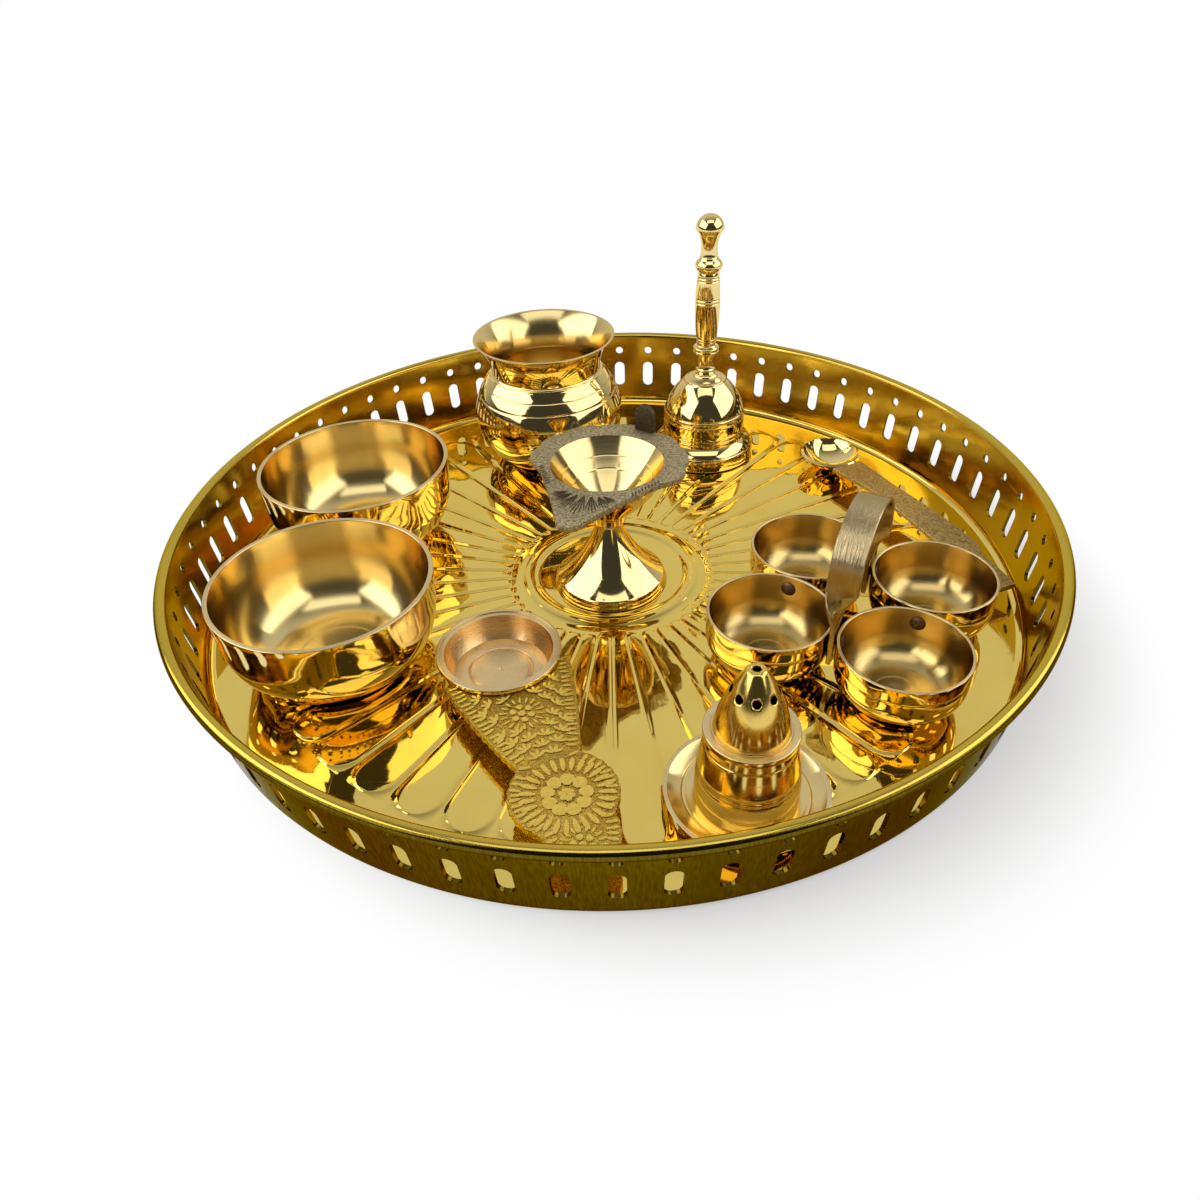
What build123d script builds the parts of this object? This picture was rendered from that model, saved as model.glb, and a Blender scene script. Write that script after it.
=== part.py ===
from build123d import *
import math
import os

# A puja thali in millimetres: a pierced brass tray and the vessels that stand in it.
# The origin is the middle of the tray's underside, +Z is up and the front is along -Y.

# Shared clearances
overrun = 1.0  # how far a cut runs past the face that it opens
rest_gap = 0.3  # air under a loose vessel and between pieces that lie side by side
fit_clearance = 0.05  # room of a spigot, stud, rivet or yoke in its seat

# Tray: drawn sheet with a rolled rim
tray_radius = 152.5
tray_height = 34.0
tray_sheet = 1.2
tray_wall_lean = 6.5
tray_corner = 4.0
tray_bead_radius = 2.0

# Pierced gallery: an upright slot with a round hole over it, all round the wall
gallery_count = 67
gallery_first_angle = -91.4
gallery_slot_height = 11.5
gallery_slot_width = 4.8
gallery_slot_level = 15.0
gallery_hole_radius = 1.7
gallery_hole_level = 26.3

# Embossed floor: a ring round the middle and a fan of long petals
ring_radius = 30.0
ring_width = 6.0
ring_height = 1.0
petal_count = 46
petal_first_angle = -87.8
petal_inner_radius = 37.0
petal_wall_gap = 19.0
petal_height = 0.6
petal_spacing = 1.0
petal_bevel = 0.6

# Katori: two round bowls on the left
katori_radius = 36.0
katori_height = 32.0
katori_base_radius = 19.0
katori_shoulder = 22.0
katori_flare = 0.8
katori_wall = 1.6
katori_wall_gap = 6.6
katori_pair_gap = 3.7
katori_pair_angle = 182.3

# Kalash: water pot with a sharp belly and a flared mouth
kalash_height = 55.0
kalash_rim_radius = 29.8
kalash_neck_radius = 23.2
kalash_neck_level = 41.0
kalash_belly_radius = 31.8
kalash_belly_level = 25.0
kalash_base_radius = 19.0
kalash_wall = 1.5
kalash_lip = 1.2
kalash_belly_bow = 4.5
kalash_shoulder_bow = 1.2
kalash_flare_bow = 1.6
kalash_wall_gap = 16.2
kalash_angle = 103.7

# Diya: a trumpet foot and a leaf-shaped lamp pan that seats on its stem
diya_front_offset = 4.0
diya_spout_angle = -110.0
foot_radius = 20.7
foot_edge = 3.2
foot_edge_taper = 1.2
foot_recess_radius = 18.0
foot_recess_height = 9.0
foot_recess_bow = 2.6
trumpet_top = 25.0
trumpet_bow = 2.0
stem_radius = 4.3
stem_height = 26.0
spigot_radius = 2.6
spigot_height = 4.0
pan_level = 49.0
pan_plate = 2.2
pan_mouth_radius = 19.4
pan_wall = 1.8
pan_collar_radius = 6.2
pan_collar_height = 2.6
pan_well_radius = 3.5
pan_well_level = 32.5
pan_well_bow = 1.2
pan_side_bow = 1.4
pan_flange_radius = 26.6
pan_cusp_reach = 7.0
pan_cusp_half = 24.2
pan_throat_reach = 15.5
pan_throat_half = 17.4
pan_throat_bow = 0.8
pan_spout_reach = 40.5
pan_spout_half = 3.4
pan_spout_bow = 1.2
pan_scallop_angles = (100, 128, 156, 204, 232, 260)
pan_scallop_share = 0.17
tab_angle = 56.0
tab_reach = 27.2
tab_width = 7.4
tab_height = 9.8
tab_thickness = 2.6

# Bell: cast dome, turned handle, staple and clapper
bell_angle = 63.4
bell_wall_gap = 22.6
bell_lip_radius = 21.8
bell_lip_edge = 0.8
bell_lip_bow = 1.5
bell_waist_radius = 17.6
bell_waist_level = 9.0
bell_shoulder_radius = 17.4
bell_shoulder_level = 20.0
bell_crown_radius = 6.2
bell_crown_level = 36.0
bell_crown_plate = 2.4
bell_dome_bow = 1.8
bell_wall = 1.9
handle_foot_radius = 5.6
handle_neck_radius = 3.4
handle_neck_level = 8.9
handle_neck_bow = 1.2
handle_collar_radius = 5.3
handle_collar_level = 10.0
handle_collar_height = 2.4
handle_grip_foot_radius = 3.8
handle_grip_top_radius = 4.3
handle_grip_level = 13.4
handle_grip_length = 29.4
handle_grip_bow = 1.0
handle_knot_level = 46.2
handle_knot_radius = 5.5
handle_knot_height = 5.0
handle_waist_radius = 3.9
handle_waist_bow = 0.9
handle_cap_level = 58.6
handle_cap_foot_radius = 4.4
handle_cap_radius = 5.6
handle_cap_edge = 1.5
stud_radius = 1.7
staple_collar_radius = 3.8
staple_collar_height = 2.6
staple_wire_radius = 0.8
staple_half_width = 2.7
staple_drop = 6.0
staple_bend = 1.6
clapper_eye_clearance = 0.3
clapper_eye_wall = 1.2
clapper_eye_width = 1.8
clapper_rod_radius = 1.1
clapper_length = 16.5
clapper_ball_radius = 4.0

# Spoon: an oval bowl on a long flat handle with a pointed tail
spoon_length = 118.8
spoon_tail_angle = -12.4
spoon_turn = -68.4
spoon_wall_gap = 5.2
spoon_bowl_length = 25.6
spoon_bowl_width = 24.4
spoon_bowl_depth = 7.0
spoon_bowl_wall = 1.1
spoon_strip = 1.8
spoon_arch = 2.6
spoon_neck_half = 5.2
spoon_blade_half = 6.8
spoon_tail_half = 4.2
spoon_tip_half = 3.4
spoon_root_half = 7.0
spoon_neck_reach = 36.0
spoon_blade_reach = 83.0
spoon_shoulder = 5.0

# Kumkum holder: four small bowls riveted round a bent strap handle
kumkum_angle = -29.8
kumkum_turn = -29.5
kumkum_wall_gap = 11.6
kumkum_radius = 20.2
kumkum_height = 19.0
kumkum_base_radius = 9.5
kumkum_shoulder = 10.5
kumkum_wall = 1.0
kumkum_rivet_level = 14.2
strap_width = 10.0
strap_thickness = 1.6
strap_spring_level = 36.0
strap_half_span = 18.6
strap_rise_height = 16.0
strap_twist_foot_level = 20.8
strap_foot_level = 8.0
strap_twist_steps = 4
rivet_radius = 1.3
rivet_head_radius = 2.5
rivet_head_height = 0.9

# Incense holder: footed saucer, turned body and a pierced nose, drawn together by a screw
incense_angle = -73.4
incense_wall_gap = 4.7
saucer_radius = 23.2
saucer_height = 5.4
saucer_foot_radius = 14.5
saucer_foot_width = 1.8
saucer_lift = 1.8
saucer_wall = 1.2
saucer_well_radius = 16.0
saucer_bow = 0.7
body_foot_radius = 14.5
body_neck_radius = 12.0
body_height = 23.4
body_bow = 0.8
collar_radius = 12.9
collar_height = 2.5
collar_taper = 0.5
nose_radius = 10.3
nose_tip_radius = 2.4
nose_height = 20.2
nose_bow = 1.2
nose_spigot_radius = 5.0
nose_spigot_height = 5.0
stick_hole_radius = 1.2
stick_hole_depth = 12.0
side_hole_count = 8
side_hole_first_angle = -95.0
side_hole_level = 13.2
side_hole_depth = 5.0
side_hole_dip = 25.0
screw_radius = 1.8
screw_length = 12.0
screw_head_radius = 3.6
screw_head_height = 1.4

# Aarti burner: a flat camphor dish carried by a cast leaf handle
aarti_tip_angle = -93.0
aarti_turn = -70.5
aarti_wall_gap = 4.0
dish_radius = 20.2
dish_height = 11.0
dish_base_radius = 13.5
dish_side_radius = 18.4
dish_side_level = 5.0
dish_side_bow = 0.9
dish_flange_thickness = 1.6
dish_step_radius = 19.1
dish_step_depth = 0.5
dish_mouth_radius = 17.5
dish_floor_radius = 15.2
dish_floor_level = 2.0
dish_wall_bow = 0.7
handle_reach = 91.0
handle_plate_thickness = 3.0
yoke_reach = 9.5
yoke_half_width = 20.4
waist_reach = 50.0
waist_half_width = 9.6
waist_bow = 1.0
fan_reach = 74.5
fan_half_width = 10.6
fan_bow = 5.6
bud_reach = 85.5
bud_half_width = 7.2
bud_bow = 1.2

# Places on the floor, worked out from what stands there
tray_foot_radius = tray_radius - tray_wall_lean
floor_radius = tray_foot_radius - tray_sheet
petal_outer_radius = tray_foot_radius - petal_wall_gap
petal_top = tray_sheet + petal_height
stand_level = petal_top + rest_gap
disc_level = tray_sheet + rest_gap


def polar(radius, angle):
    """Point in the floor's plane at a radius and an angle in degrees."""
    return Vector(radius, 0).rotate(Axis.Z, angle)


def seat(point, level, turn=0):
    """Level plane that a vessel stands on, turned about +Z."""
    return Plane((point.X, point.Y, level)).rotated((0, 0, turn))


def upright(base):
    """Upright plane through a seat's middle: x runs outwards and y runs up."""
    return Plane(base.origin, x_dir=base.x_dir, z_dir=-base.y_dir)


def sideways(base, point):
    """Upright plane across a seat at a point of it: x runs along the seat's y and y runs up."""
    return Plane(base.from_local_coords(point), x_dir=base.y_dir, z_dir=base.x_dir)


def spindle(base):
    """Axis that a turned piece on a seat is turned about."""
    return Axis(base.origin, base.z_dir)


def finish(builder, label):
    """Label a finished piece and write its file."""
    builder.part.label = label
    export_step(builder.part, f"parts/{label}.step")


os.makedirs("parts", exist_ok=True)

# Tray wall, floor and rolled rim
bead_center_radius = tray_radius - tray_bead_radius
bead_level = tray_height - tray_bead_radius
wall_top_radius = bead_center_radius - tray_bead_radius + tray_sheet
corner_radius = tray_foot_radius - tray_corner
tray_seat = seat(Vector(0, 0), 0)

half_pitch = math.sin(math.radians(180 / petal_count))
outer_end_radius = (petal_outer_radius * half_pitch - petal_spacing / 2) / (1 + half_pitch)
inner_end_radius = (petal_inner_radius * half_pitch - petal_spacing / 2) / (1 - half_pitch)
with BuildPart() as petal:
    for inset, level in ((0, tray_sheet), (petal_bevel, petal_top)):
        with BuildSketch(Plane.XY.offset(level)):
            with BuildLine():
                CenterArc((petal_outer_radius - outer_end_radius, 0), outer_end_radius - inset, 0, 360)
                CenterArc((petal_inner_radius + inner_end_radius, 0), inner_end_radius - inset, 0, 360)
            make_hull()
    loft()

with BuildPart() as slot_cutter:
    with BuildSketch(Plane((wall_top_radius, 0, gallery_slot_level), x_dir=(0, 0, 1), z_dir=(1, 0, 0))):
        SlotOverall(gallery_slot_height, gallery_slot_width)
    with BuildSketch(Plane((wall_top_radius, 0, gallery_hole_level), z_dir=(1, 0, 0))):
        Circle(gallery_hole_radius)
    extrude(amount=tray_corner + overrun, both=True)

with BuildPart() as thali_tray:
    with BuildSketch(upright(tray_seat)):
        with BuildLine():
            Line((0, 0), (corner_radius, 0))
            CenterArc((corner_radius, tray_corner), tray_corner, 270, 90)
            Polyline(
                (tray_foot_radius, tray_corner),
                (wall_top_radius, bead_level),
                (wall_top_radius - tray_sheet, bead_level),
                (floor_radius, tray_corner),
            )
            CenterArc((corner_radius, tray_corner), tray_corner - tray_sheet, 270, 90)
            Polyline((corner_radius, tray_sheet), (0, tray_sheet), (0, 0))
        make_face()
    revolve(axis=spindle(tray_seat))
    with BuildSketch(upright(tray_seat)):
        with Locations((bead_center_radius, bead_level)):
            Circle(tray_bead_radius)
    revolve(axis=spindle(tray_seat))
    with BuildSketch(upright(tray_seat)):
        with BuildLine():
            ring_start = (ring_radius - ring_width / 2, tray_sheet)
            ring_end = (ring_radius + ring_width / 2, tray_sheet)
            SagittaArc(ring_start, ring_end, ring_height)
            Polyline(ring_end, (ring_end[0], 0), (ring_start[0], 0), ring_start)
        make_face()
    revolve(axis=spindle(tray_seat))
    with PolarLocations(0, petal_count, petal_first_angle):
        add(petal.part)
    with PolarLocations(0, gallery_count, gallery_first_angle):
        add(slot_cutter.part, mode=Mode.SUBTRACT)
finish(thali_tray, "thali_tray")


def turned_bowl(base, radius, height, base_radius, shoulder, flare, wall):
    """Round bowl with a flat base, a curved belly and a straight wall up to the rim."""
    wall_foot = radius - flare
    inner_foot = wall_foot - wall
    with BuildPart() as bowl:
        with BuildSketch(upright(base)):
            with BuildLine():
                Line((0, 0), (base_radius, 0))
                EllipticalCenterArc(
                    (base_radius, shoulder), wall_foot - base_radius, shoulder, 270, arc_size=90
                )
                Polyline(
                    (wall_foot, shoulder),
                    (radius, height),
                    (radius - wall, height),
                    (inner_foot, shoulder),
                )
                EllipticalCenterArc(
                    (base_radius, shoulder), inner_foot - base_radius, shoulder - wall, 270, arc_size=90
                )
                Polyline((base_radius, wall), (0, wall), (0, 0))
            make_face()
        revolve(axis=spindle(base))
    return bowl


# Katori bowls, side by side against the left of the wall
katori_place_radius = floor_radius - katori_radius - katori_wall_gap
katori_half_angle = math.degrees(math.asin((katori_radius + katori_pair_gap / 2) / katori_place_radius))
for label, side in (("katori_rear", -1), ("katori_front", 1)):
    katori_place = polar(katori_place_radius, katori_pair_angle + side * katori_half_angle)
    katori = turned_bowl(
        seat(katori_place, stand_level),
        katori_radius,
        katori_height,
        katori_base_radius,
        katori_shoulder,
        katori_flare,
        katori_wall,
    )
    finish(katori, label)

# Kalash
kalash_place = polar(floor_radius - kalash_belly_radius - kalash_wall_gap, kalash_angle)
kalash_seat = seat(kalash_place, stand_level)
with BuildPart() as kalash:
    with BuildSketch(upright(kalash_seat)):
        with BuildLine():
            for inset, lip_inset in ((0, 0), (kalash_wall, kalash_lip)):
                base_point = (kalash_base_radius - inset, inset)
                belly_point = (kalash_belly_radius - inset, kalash_belly_level)
                neck_point = (kalash_neck_radius - inset, kalash_neck_level)
                rim_point = (kalash_rim_radius - lip_inset, kalash_height)
                Line((0, inset), base_point)
                SagittaArc(base_point, belly_point, -kalash_belly_bow)
                SagittaArc(belly_point, neck_point, -kalash_shoulder_bow)
                SagittaArc(neck_point, rim_point, kalash_flare_bow)
            Line(rim_point, (kalash_rim_radius, kalash_height))
            Line((0, kalash_wall), (0, 0))
        make_face()
    revolve(axis=spindle(kalash_seat))
finish(kalash, "kalash")

# Diya foot, with its spigot
diya_seat = seat(Vector(0, -diya_front_offset), disc_level, diya_spout_angle)
foot_top_radius = foot_radius - foot_edge_taper
spigot_top = stem_height + spigot_height
with BuildPart() as diya_foot:
    with BuildSketch(upright(diya_seat)):
        with BuildLine():
            Polyline((foot_recess_radius, 0), (foot_radius, 0), (foot_top_radius, foot_edge))
            SagittaArc((foot_top_radius, foot_edge), (stem_radius, trumpet_top), trumpet_bow)
            Polyline(
                (stem_radius, trumpet_top),
                (stem_radius, stem_height),
                (spigot_radius, stem_height),
                (spigot_radius, spigot_top),
                (0, spigot_top),
                (0, foot_recess_height),
            )
            SagittaArc((0, foot_recess_height), (foot_recess_radius, 0), -foot_recess_bow)
        make_face()
    revolve(axis=spindle(diya_seat))
finish(diya_foot, "diya_foot")

# Diya pan: turned bowl with a socket, scalloped leaf flange and thumb tab
socket_radius = spigot_radius + fit_clearance
socket_top = spigot_top + fit_clearance
pan_plate_level = pan_level - pan_plate
pan_outer_radius = pan_mouth_radius + pan_wall
collar_top = stem_height + pan_collar_height
tab_seat = seat(diya_seat.origin, disc_level, tab_angle)
with BuildPart() as diya_pan:
    with BuildSketch(upright(diya_seat)):
        with BuildLine():
            Polyline(
                (0, pan_well_level),
                (0, socket_top),
                (socket_radius, socket_top),
                (socket_radius, stem_height),
                (pan_collar_radius, stem_height),
                (pan_collar_radius, collar_top),
            )
            SagittaArc((pan_collar_radius, collar_top), (pan_outer_radius, pan_plate_level), -pan_side_bow)
            Polyline(
                (pan_outer_radius, pan_plate_level),
                (pan_outer_radius, pan_level),
                (pan_mouth_radius, pan_level),
            )
            SagittaArc((pan_well_radius, pan_well_level), (pan_mouth_radius, pan_level), -pan_well_bow)
            Line((pan_well_radius, pan_well_level), (0, pan_well_level))
        make_face()
    revolve(axis=spindle(diya_seat))
    with BuildSketch(diya_seat.offset(pan_plate_level)):
        with BuildLine():
            lobe_points = [Vector(pan_cusp_reach, pan_cusp_half)]
            lobe_points += [polar(pan_flange_radius, angle) for angle in pan_scallop_angles]
            lobe_points += [Vector(pan_cusp_reach, -pan_cusp_half)]
            for start, end in zip(lobe_points, lobe_points[1:]):
                SagittaArc(start, end, -pan_scallop_share * (end - start).length)
            for side in (1, -1):
                throat = (pan_throat_reach, side * pan_throat_half)
                SagittaArc((pan_cusp_reach, side * pan_cusp_half), throat, -side * pan_throat_bow)
                Line(throat, (pan_spout_reach, side * pan_spout_half))
            SagittaArc((pan_spout_reach, -pan_spout_half), (pan_spout_reach, pan_spout_half), -pan_spout_bow)
        make_face()
        Circle(pan_mouth_radius, mode=Mode.SUBTRACT)
    extrude(amount=pan_plate)
    with BuildSketch(sideways(tab_seat, (tab_reach - tab_thickness, 0, pan_plate_level))):
        tab_straight = pan_plate + tab_height - tab_width / 2
        Rectangle(tab_width, tab_straight, align=(Align.CENTER, Align.MIN))
        with Locations((0, tab_straight)):
            Circle(tab_width / 2)
    extrude(amount=tab_thickness)
finish(diya_pan, "diya_pan")

# Bell dome, open below, with a flat crown for the handle
bell_place = polar(floor_radius - bell_lip_radius - bell_wall_gap, bell_angle)
bell_seat = seat(bell_place, stand_level)
crown_underside = bell_crown_level - bell_crown_plate
with BuildPart() as bell_dome:
    with BuildSketch(upright(bell_seat)):
        with BuildLine():
            for inset, crown_edge in ((0, bell_crown_level), (bell_wall, crown_underside)):
                lip_point = (bell_lip_radius - inset, bell_lip_edge)
                waist_point = (bell_waist_radius - inset, bell_waist_level)
                shoulder_point = (bell_shoulder_radius - inset, bell_shoulder_level)
                crown_point = (bell_crown_radius - inset, crown_edge)
                SagittaArc(lip_point, waist_point, -bell_lip_bow)
                Line(waist_point, shoulder_point)
                SagittaArc(shoulder_point, crown_point, -bell_dome_bow)
            Polyline(
                (bell_lip_radius - bell_wall, bell_lip_edge),
                (bell_lip_radius - bell_wall, 0),
                (bell_lip_radius, 0),
                (bell_lip_radius, bell_lip_edge),
            )
            Polyline(
                crown_point,
                (0, crown_underside),
                (0, bell_crown_level),
                (bell_crown_radius, bell_crown_level),
            )
        make_face()
    revolve(axis=spindle(bell_seat))
    with BuildSketch(bell_seat.offset(crown_underside - overrun)):
        Circle(stud_radius + fit_clearance)
    extrude(amount=bell_crown_plate + 2 * overrun, mode=Mode.SUBTRACT)
finish(bell_dome, "bell_dome")

# Bell handle, turned in one piece with the stud that goes through the crown
handle_seat = bell_seat.offset(bell_crown_level)
stud_foot = -bell_crown_plate - staple_collar_height
grip_top = handle_grip_level + handle_grip_length
collar_top_level = handle_collar_level + handle_collar_height
knot_foot = handle_knot_level - handle_knot_height / 2
knot_top = handle_knot_level + handle_knot_height / 2
cap_edge_level = handle_cap_level + handle_cap_edge
with BuildPart() as bell_handle:
    with BuildSketch(upright(handle_seat)):
        with BuildLine():
            Polyline((0, stud_foot), (stud_radius, stud_foot), (stud_radius, 0), (handle_foot_radius, 0))
            SagittaArc((handle_foot_radius, 0), (handle_neck_radius, handle_neck_level), handle_neck_bow)
            Polyline(
                (handle_neck_radius, handle_neck_level),
                (handle_collar_radius, handle_collar_level),
                (handle_collar_radius, collar_top_level),
                (handle_grip_foot_radius, handle_grip_level),
            )
            grip_end = (handle_grip_top_radius, grip_top)
            SagittaArc((handle_grip_foot_radius, handle_grip_level), grip_end, -handle_grip_bow)
            Line(grip_end, (handle_waist_radius, knot_foot))
            ThreePointArc(
                (handle_waist_radius, knot_foot),
                (handle_knot_radius, handle_knot_level),
                (handle_waist_radius, knot_top),
            )
            cap_foot = (handle_cap_foot_radius, handle_cap_level)
            SagittaArc((handle_waist_radius, knot_top), cap_foot, handle_waist_bow)
            Line(cap_foot, (handle_cap_radius, cap_edge_level))
            CenterArc((0, cap_edge_level), handle_cap_radius, 0, 90)
            Line((0, cap_edge_level + handle_cap_radius), (0, stud_foot))
        make_face()
    revolve(axis=spindle(handle_seat))
finish(bell_handle, "bell_handle")

# Staple: a collar on the stud under the crown, with a wire bow for the clapper
staple_underside = crown_underside - staple_collar_height
bar_level = staple_underside - staple_drop
with BuildPart() as bell_staple:
    with BuildSketch(bell_seat.offset(staple_underside)):
        Circle(staple_collar_radius)
        Circle(stud_radius + fit_clearance, mode=Mode.SUBTRACT)
    extrude(amount=staple_collar_height)
    with BuildLine(upright(bell_seat)) as bow:
        FilletPolyline(
            (-staple_half_width, staple_underside + staple_wire_radius),
            (-staple_half_width, bar_level),
            (staple_half_width, bar_level),
            (staple_half_width, staple_underside + staple_wire_radius),
            radius=staple_bend,
        )
    with BuildSketch(Plane(bow.line @ 0, z_dir=bow.line % 0)):
        Circle(staple_wire_radius)
    sweep()
finish(bell_staple, "bell_staple")

# Clapper: an eye on the staple's bar, a rod and a ball
eye_radius = staple_wire_radius + clapper_eye_clearance
eye_outer_radius = eye_radius + clapper_eye_wall
ball_level = bar_level - clapper_length
with BuildPart() as bell_clapper:
    with BuildSketch(sideways(bell_seat, (0, 0, bar_level))):
        Circle(eye_outer_radius)
        Circle(eye_radius, mode=Mode.SUBTRACT)
    extrude(amount=clapper_eye_width / 2, both=True)
    with BuildSketch(bell_seat.offset(ball_level)):
        Circle(clapper_rod_radius)
    extrude(amount=clapper_length - eye_radius - clapper_eye_wall / 2)
    with Locations(bell_seat.offset(ball_level).origin):
        Sphere(clapper_ball_radius)
finish(bell_clapper, "bell_clapper")

# Spoon handle: an arched strip trimmed to its outline
spoon_half_length = spoon_bowl_length / 2
spoon_tail = polar(floor_radius - spoon_wall_gap, spoon_tail_angle)
spoon_place = spoon_tail - polar(spoon_length - spoon_half_length, spoon_turn)
spoon_seat = seat(spoon_place, stand_level, spoon_turn)
strip_start = spoon_half_length - spoon_bowl_wall
strip_end = spoon_length - spoon_half_length
with BuildPart() as spoon_handle:
    with BuildSketch(upright(spoon_seat)):
        with BuildLine():
            for level in (spoon_bowl_depth, spoon_bowl_depth - spoon_strip):
                SagittaArc((strip_start, level), (strip_end, level), spoon_arch)
            for reach in (strip_start, strip_end):
                Line((reach, spoon_bowl_depth - spoon_strip), (reach, spoon_bowl_depth))
        make_face()
    extrude(amount=spoon_root_half + overrun, both=True)
    with BuildSketch(spoon_seat):
        with BuildLine():
            for side in (1, -1):
                Polyline(
                    (strip_start, side * spoon_root_half),
                    (spoon_neck_reach, side * spoon_neck_half),
                    (spoon_blade_reach, side * spoon_blade_half),
                    (spoon_blade_reach + spoon_shoulder, side * spoon_tail_half),
                    (strip_end, side * spoon_tip_half),
                )
            Line((strip_start, spoon_root_half), (strip_start, -spoon_root_half))
            Line((strip_end, spoon_tip_half), (strip_end, -spoon_tip_half))
        make_face()
    extrude(amount=spoon_bowl_depth + spoon_arch + overrun, mode=Mode.INTERSECT)

# Spoon bowl: the lower part of an ellipsoid that meets the rim's length, width and depth
bowl_half_width = spoon_bowl_width / 2
ball_half_height = (bowl_half_width**2 + spoon_bowl_depth**2) / (2 * spoon_bowl_depth)
rim_share = bowl_half_width / ball_half_height
ball_half_length = spoon_half_length / rim_share
ball_plane = spoon_seat.offset(ball_half_height)
with BuildPart() as spoon:
    for inset, cut_mode in ((0, Mode.ADD), (spoon_bowl_wall, Mode.SUBTRACT)):
        with BuildSketch(ball_plane):
            with BuildLine():
                half_length = ball_half_length - inset
                EllipticalCenterArc((0, 0), half_length, ball_half_height - inset, 0, arc_size=180)
                Line((-half_length, 0), (half_length, 0))
            make_face()
        revolve(axis=Axis(ball_plane.origin, ball_plane.x_dir), mode=cut_mode)
    split(bisect_by=spoon_seat.offset(spoon_bowl_depth), keep=Keep.BOTTOM)
    add(spoon_handle.part)
finish(spoon, "spoon")

# Kumkum bowls: rows are riveted wall to wall, and the strap's feet stand between the columns
column_half = kumkum_radius + rest_gap + strap_thickness / 2
row_half = kumkum_radius + rest_gap / 2
kumkum_edge = floor_radius - kumkum_wall_gap - kumkum_radius
kumkum_place = polar(math.sqrt(kumkum_edge**2 - row_half**2) - column_half, kumkum_angle)
kumkum_seat = seat(kumkum_place, stand_level, kumkum_turn)
kumkum_sides = {"front_left": (-1, -1), "rear_left": (-1, 1), "rear_right": (1, 1), "front_right": (1, -1)}
for name, (column, row) in kumkum_sides.items():
    bowl_seat = Plane(
        kumkum_seat.from_local_coords((column * column_half, row * row_half, 0)),
        x_dir=-column * kumkum_seat.x_dir,
        z_dir=kumkum_seat.z_dir,
    )
    kumkum_blank = turned_bowl(
        bowl_seat, kumkum_radius, kumkum_height, kumkum_base_radius, kumkum_shoulder, 0, kumkum_wall
    )
    rivet_origin = bowl_seat.offset(kumkum_rivet_level).origin
    with BuildPart() as kumkum_bowl:
        add(kumkum_blank.part)
        for direction in (-column * kumkum_seat.x_dir, -row * kumkum_seat.y_dir):
            with BuildSketch(Plane(rivet_origin, z_dir=direction)):
                Circle(rivet_radius + fit_clearance)
            extrude(amount=kumkum_radius + overrun, mode=Mode.SUBTRACT)
    finish(kumkum_bowl, f"kumkum_bowl_{name}")

# Kumkum strap: an arch whose ends turn a quarter and go down between the bowls
strap_plane = sideways(kumkum_seat, (0, 0, 0))
half_thickness = strap_thickness / 2
with BuildPart() as kumkum_handle:
    with BuildSketch(strap_plane):
        with BuildLine():
            for grow in (half_thickness, -half_thickness):
                EllipticalCenterArc(
                    (0, strap_spring_level), strap_half_span + grow, strap_rise_height + grow, 0, arc_size=180
                )
            for side in (1, -1):
                Line(
                    (side * (strap_half_span - half_thickness), strap_spring_level),
                    (side * (strap_half_span + half_thickness), strap_spring_level),
                )
        make_face()
    extrude(amount=strap_width / 2, both=True)
    for side in (1, -1):
        foot_plane = kumkum_seat.shift_origin(kumkum_seat.from_local_coords((0, side * row_half, 0)))
        for step in range(strap_twist_steps + 1):
            twist_share = step / strap_twist_steps
            twist_level = strap_spring_level + twist_share * (strap_twist_foot_level - strap_spring_level)
            twist_half = strap_half_span + twist_share * (row_half - strap_half_span)
            twist_center = kumkum_seat.from_local_coords((0, side * twist_half, twist_level))
            twist_plane = Plane(twist_center, x_dir=kumkum_seat.x_dir, z_dir=kumkum_seat.z_dir)
            with BuildSketch(twist_plane.rotated((0, 0, 90 * twist_share))):
                Rectangle(strap_width, strap_thickness)
        loft()
        with BuildSketch(foot_plane.offset(strap_twist_foot_level)):
            Rectangle(strap_thickness, strap_width)
        extrude(amount=strap_foot_level - strap_twist_foot_level)
        with BuildSketch(Plane(foot_plane.offset(kumkum_rivet_level).origin, z_dir=kumkum_seat.x_dir)):
            Circle(rivet_radius + fit_clearance)
        extrude(amount=strap_thickness, both=True, mode=Mode.SUBTRACT)
finish(kumkum_handle, "kumkum_handle")

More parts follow.
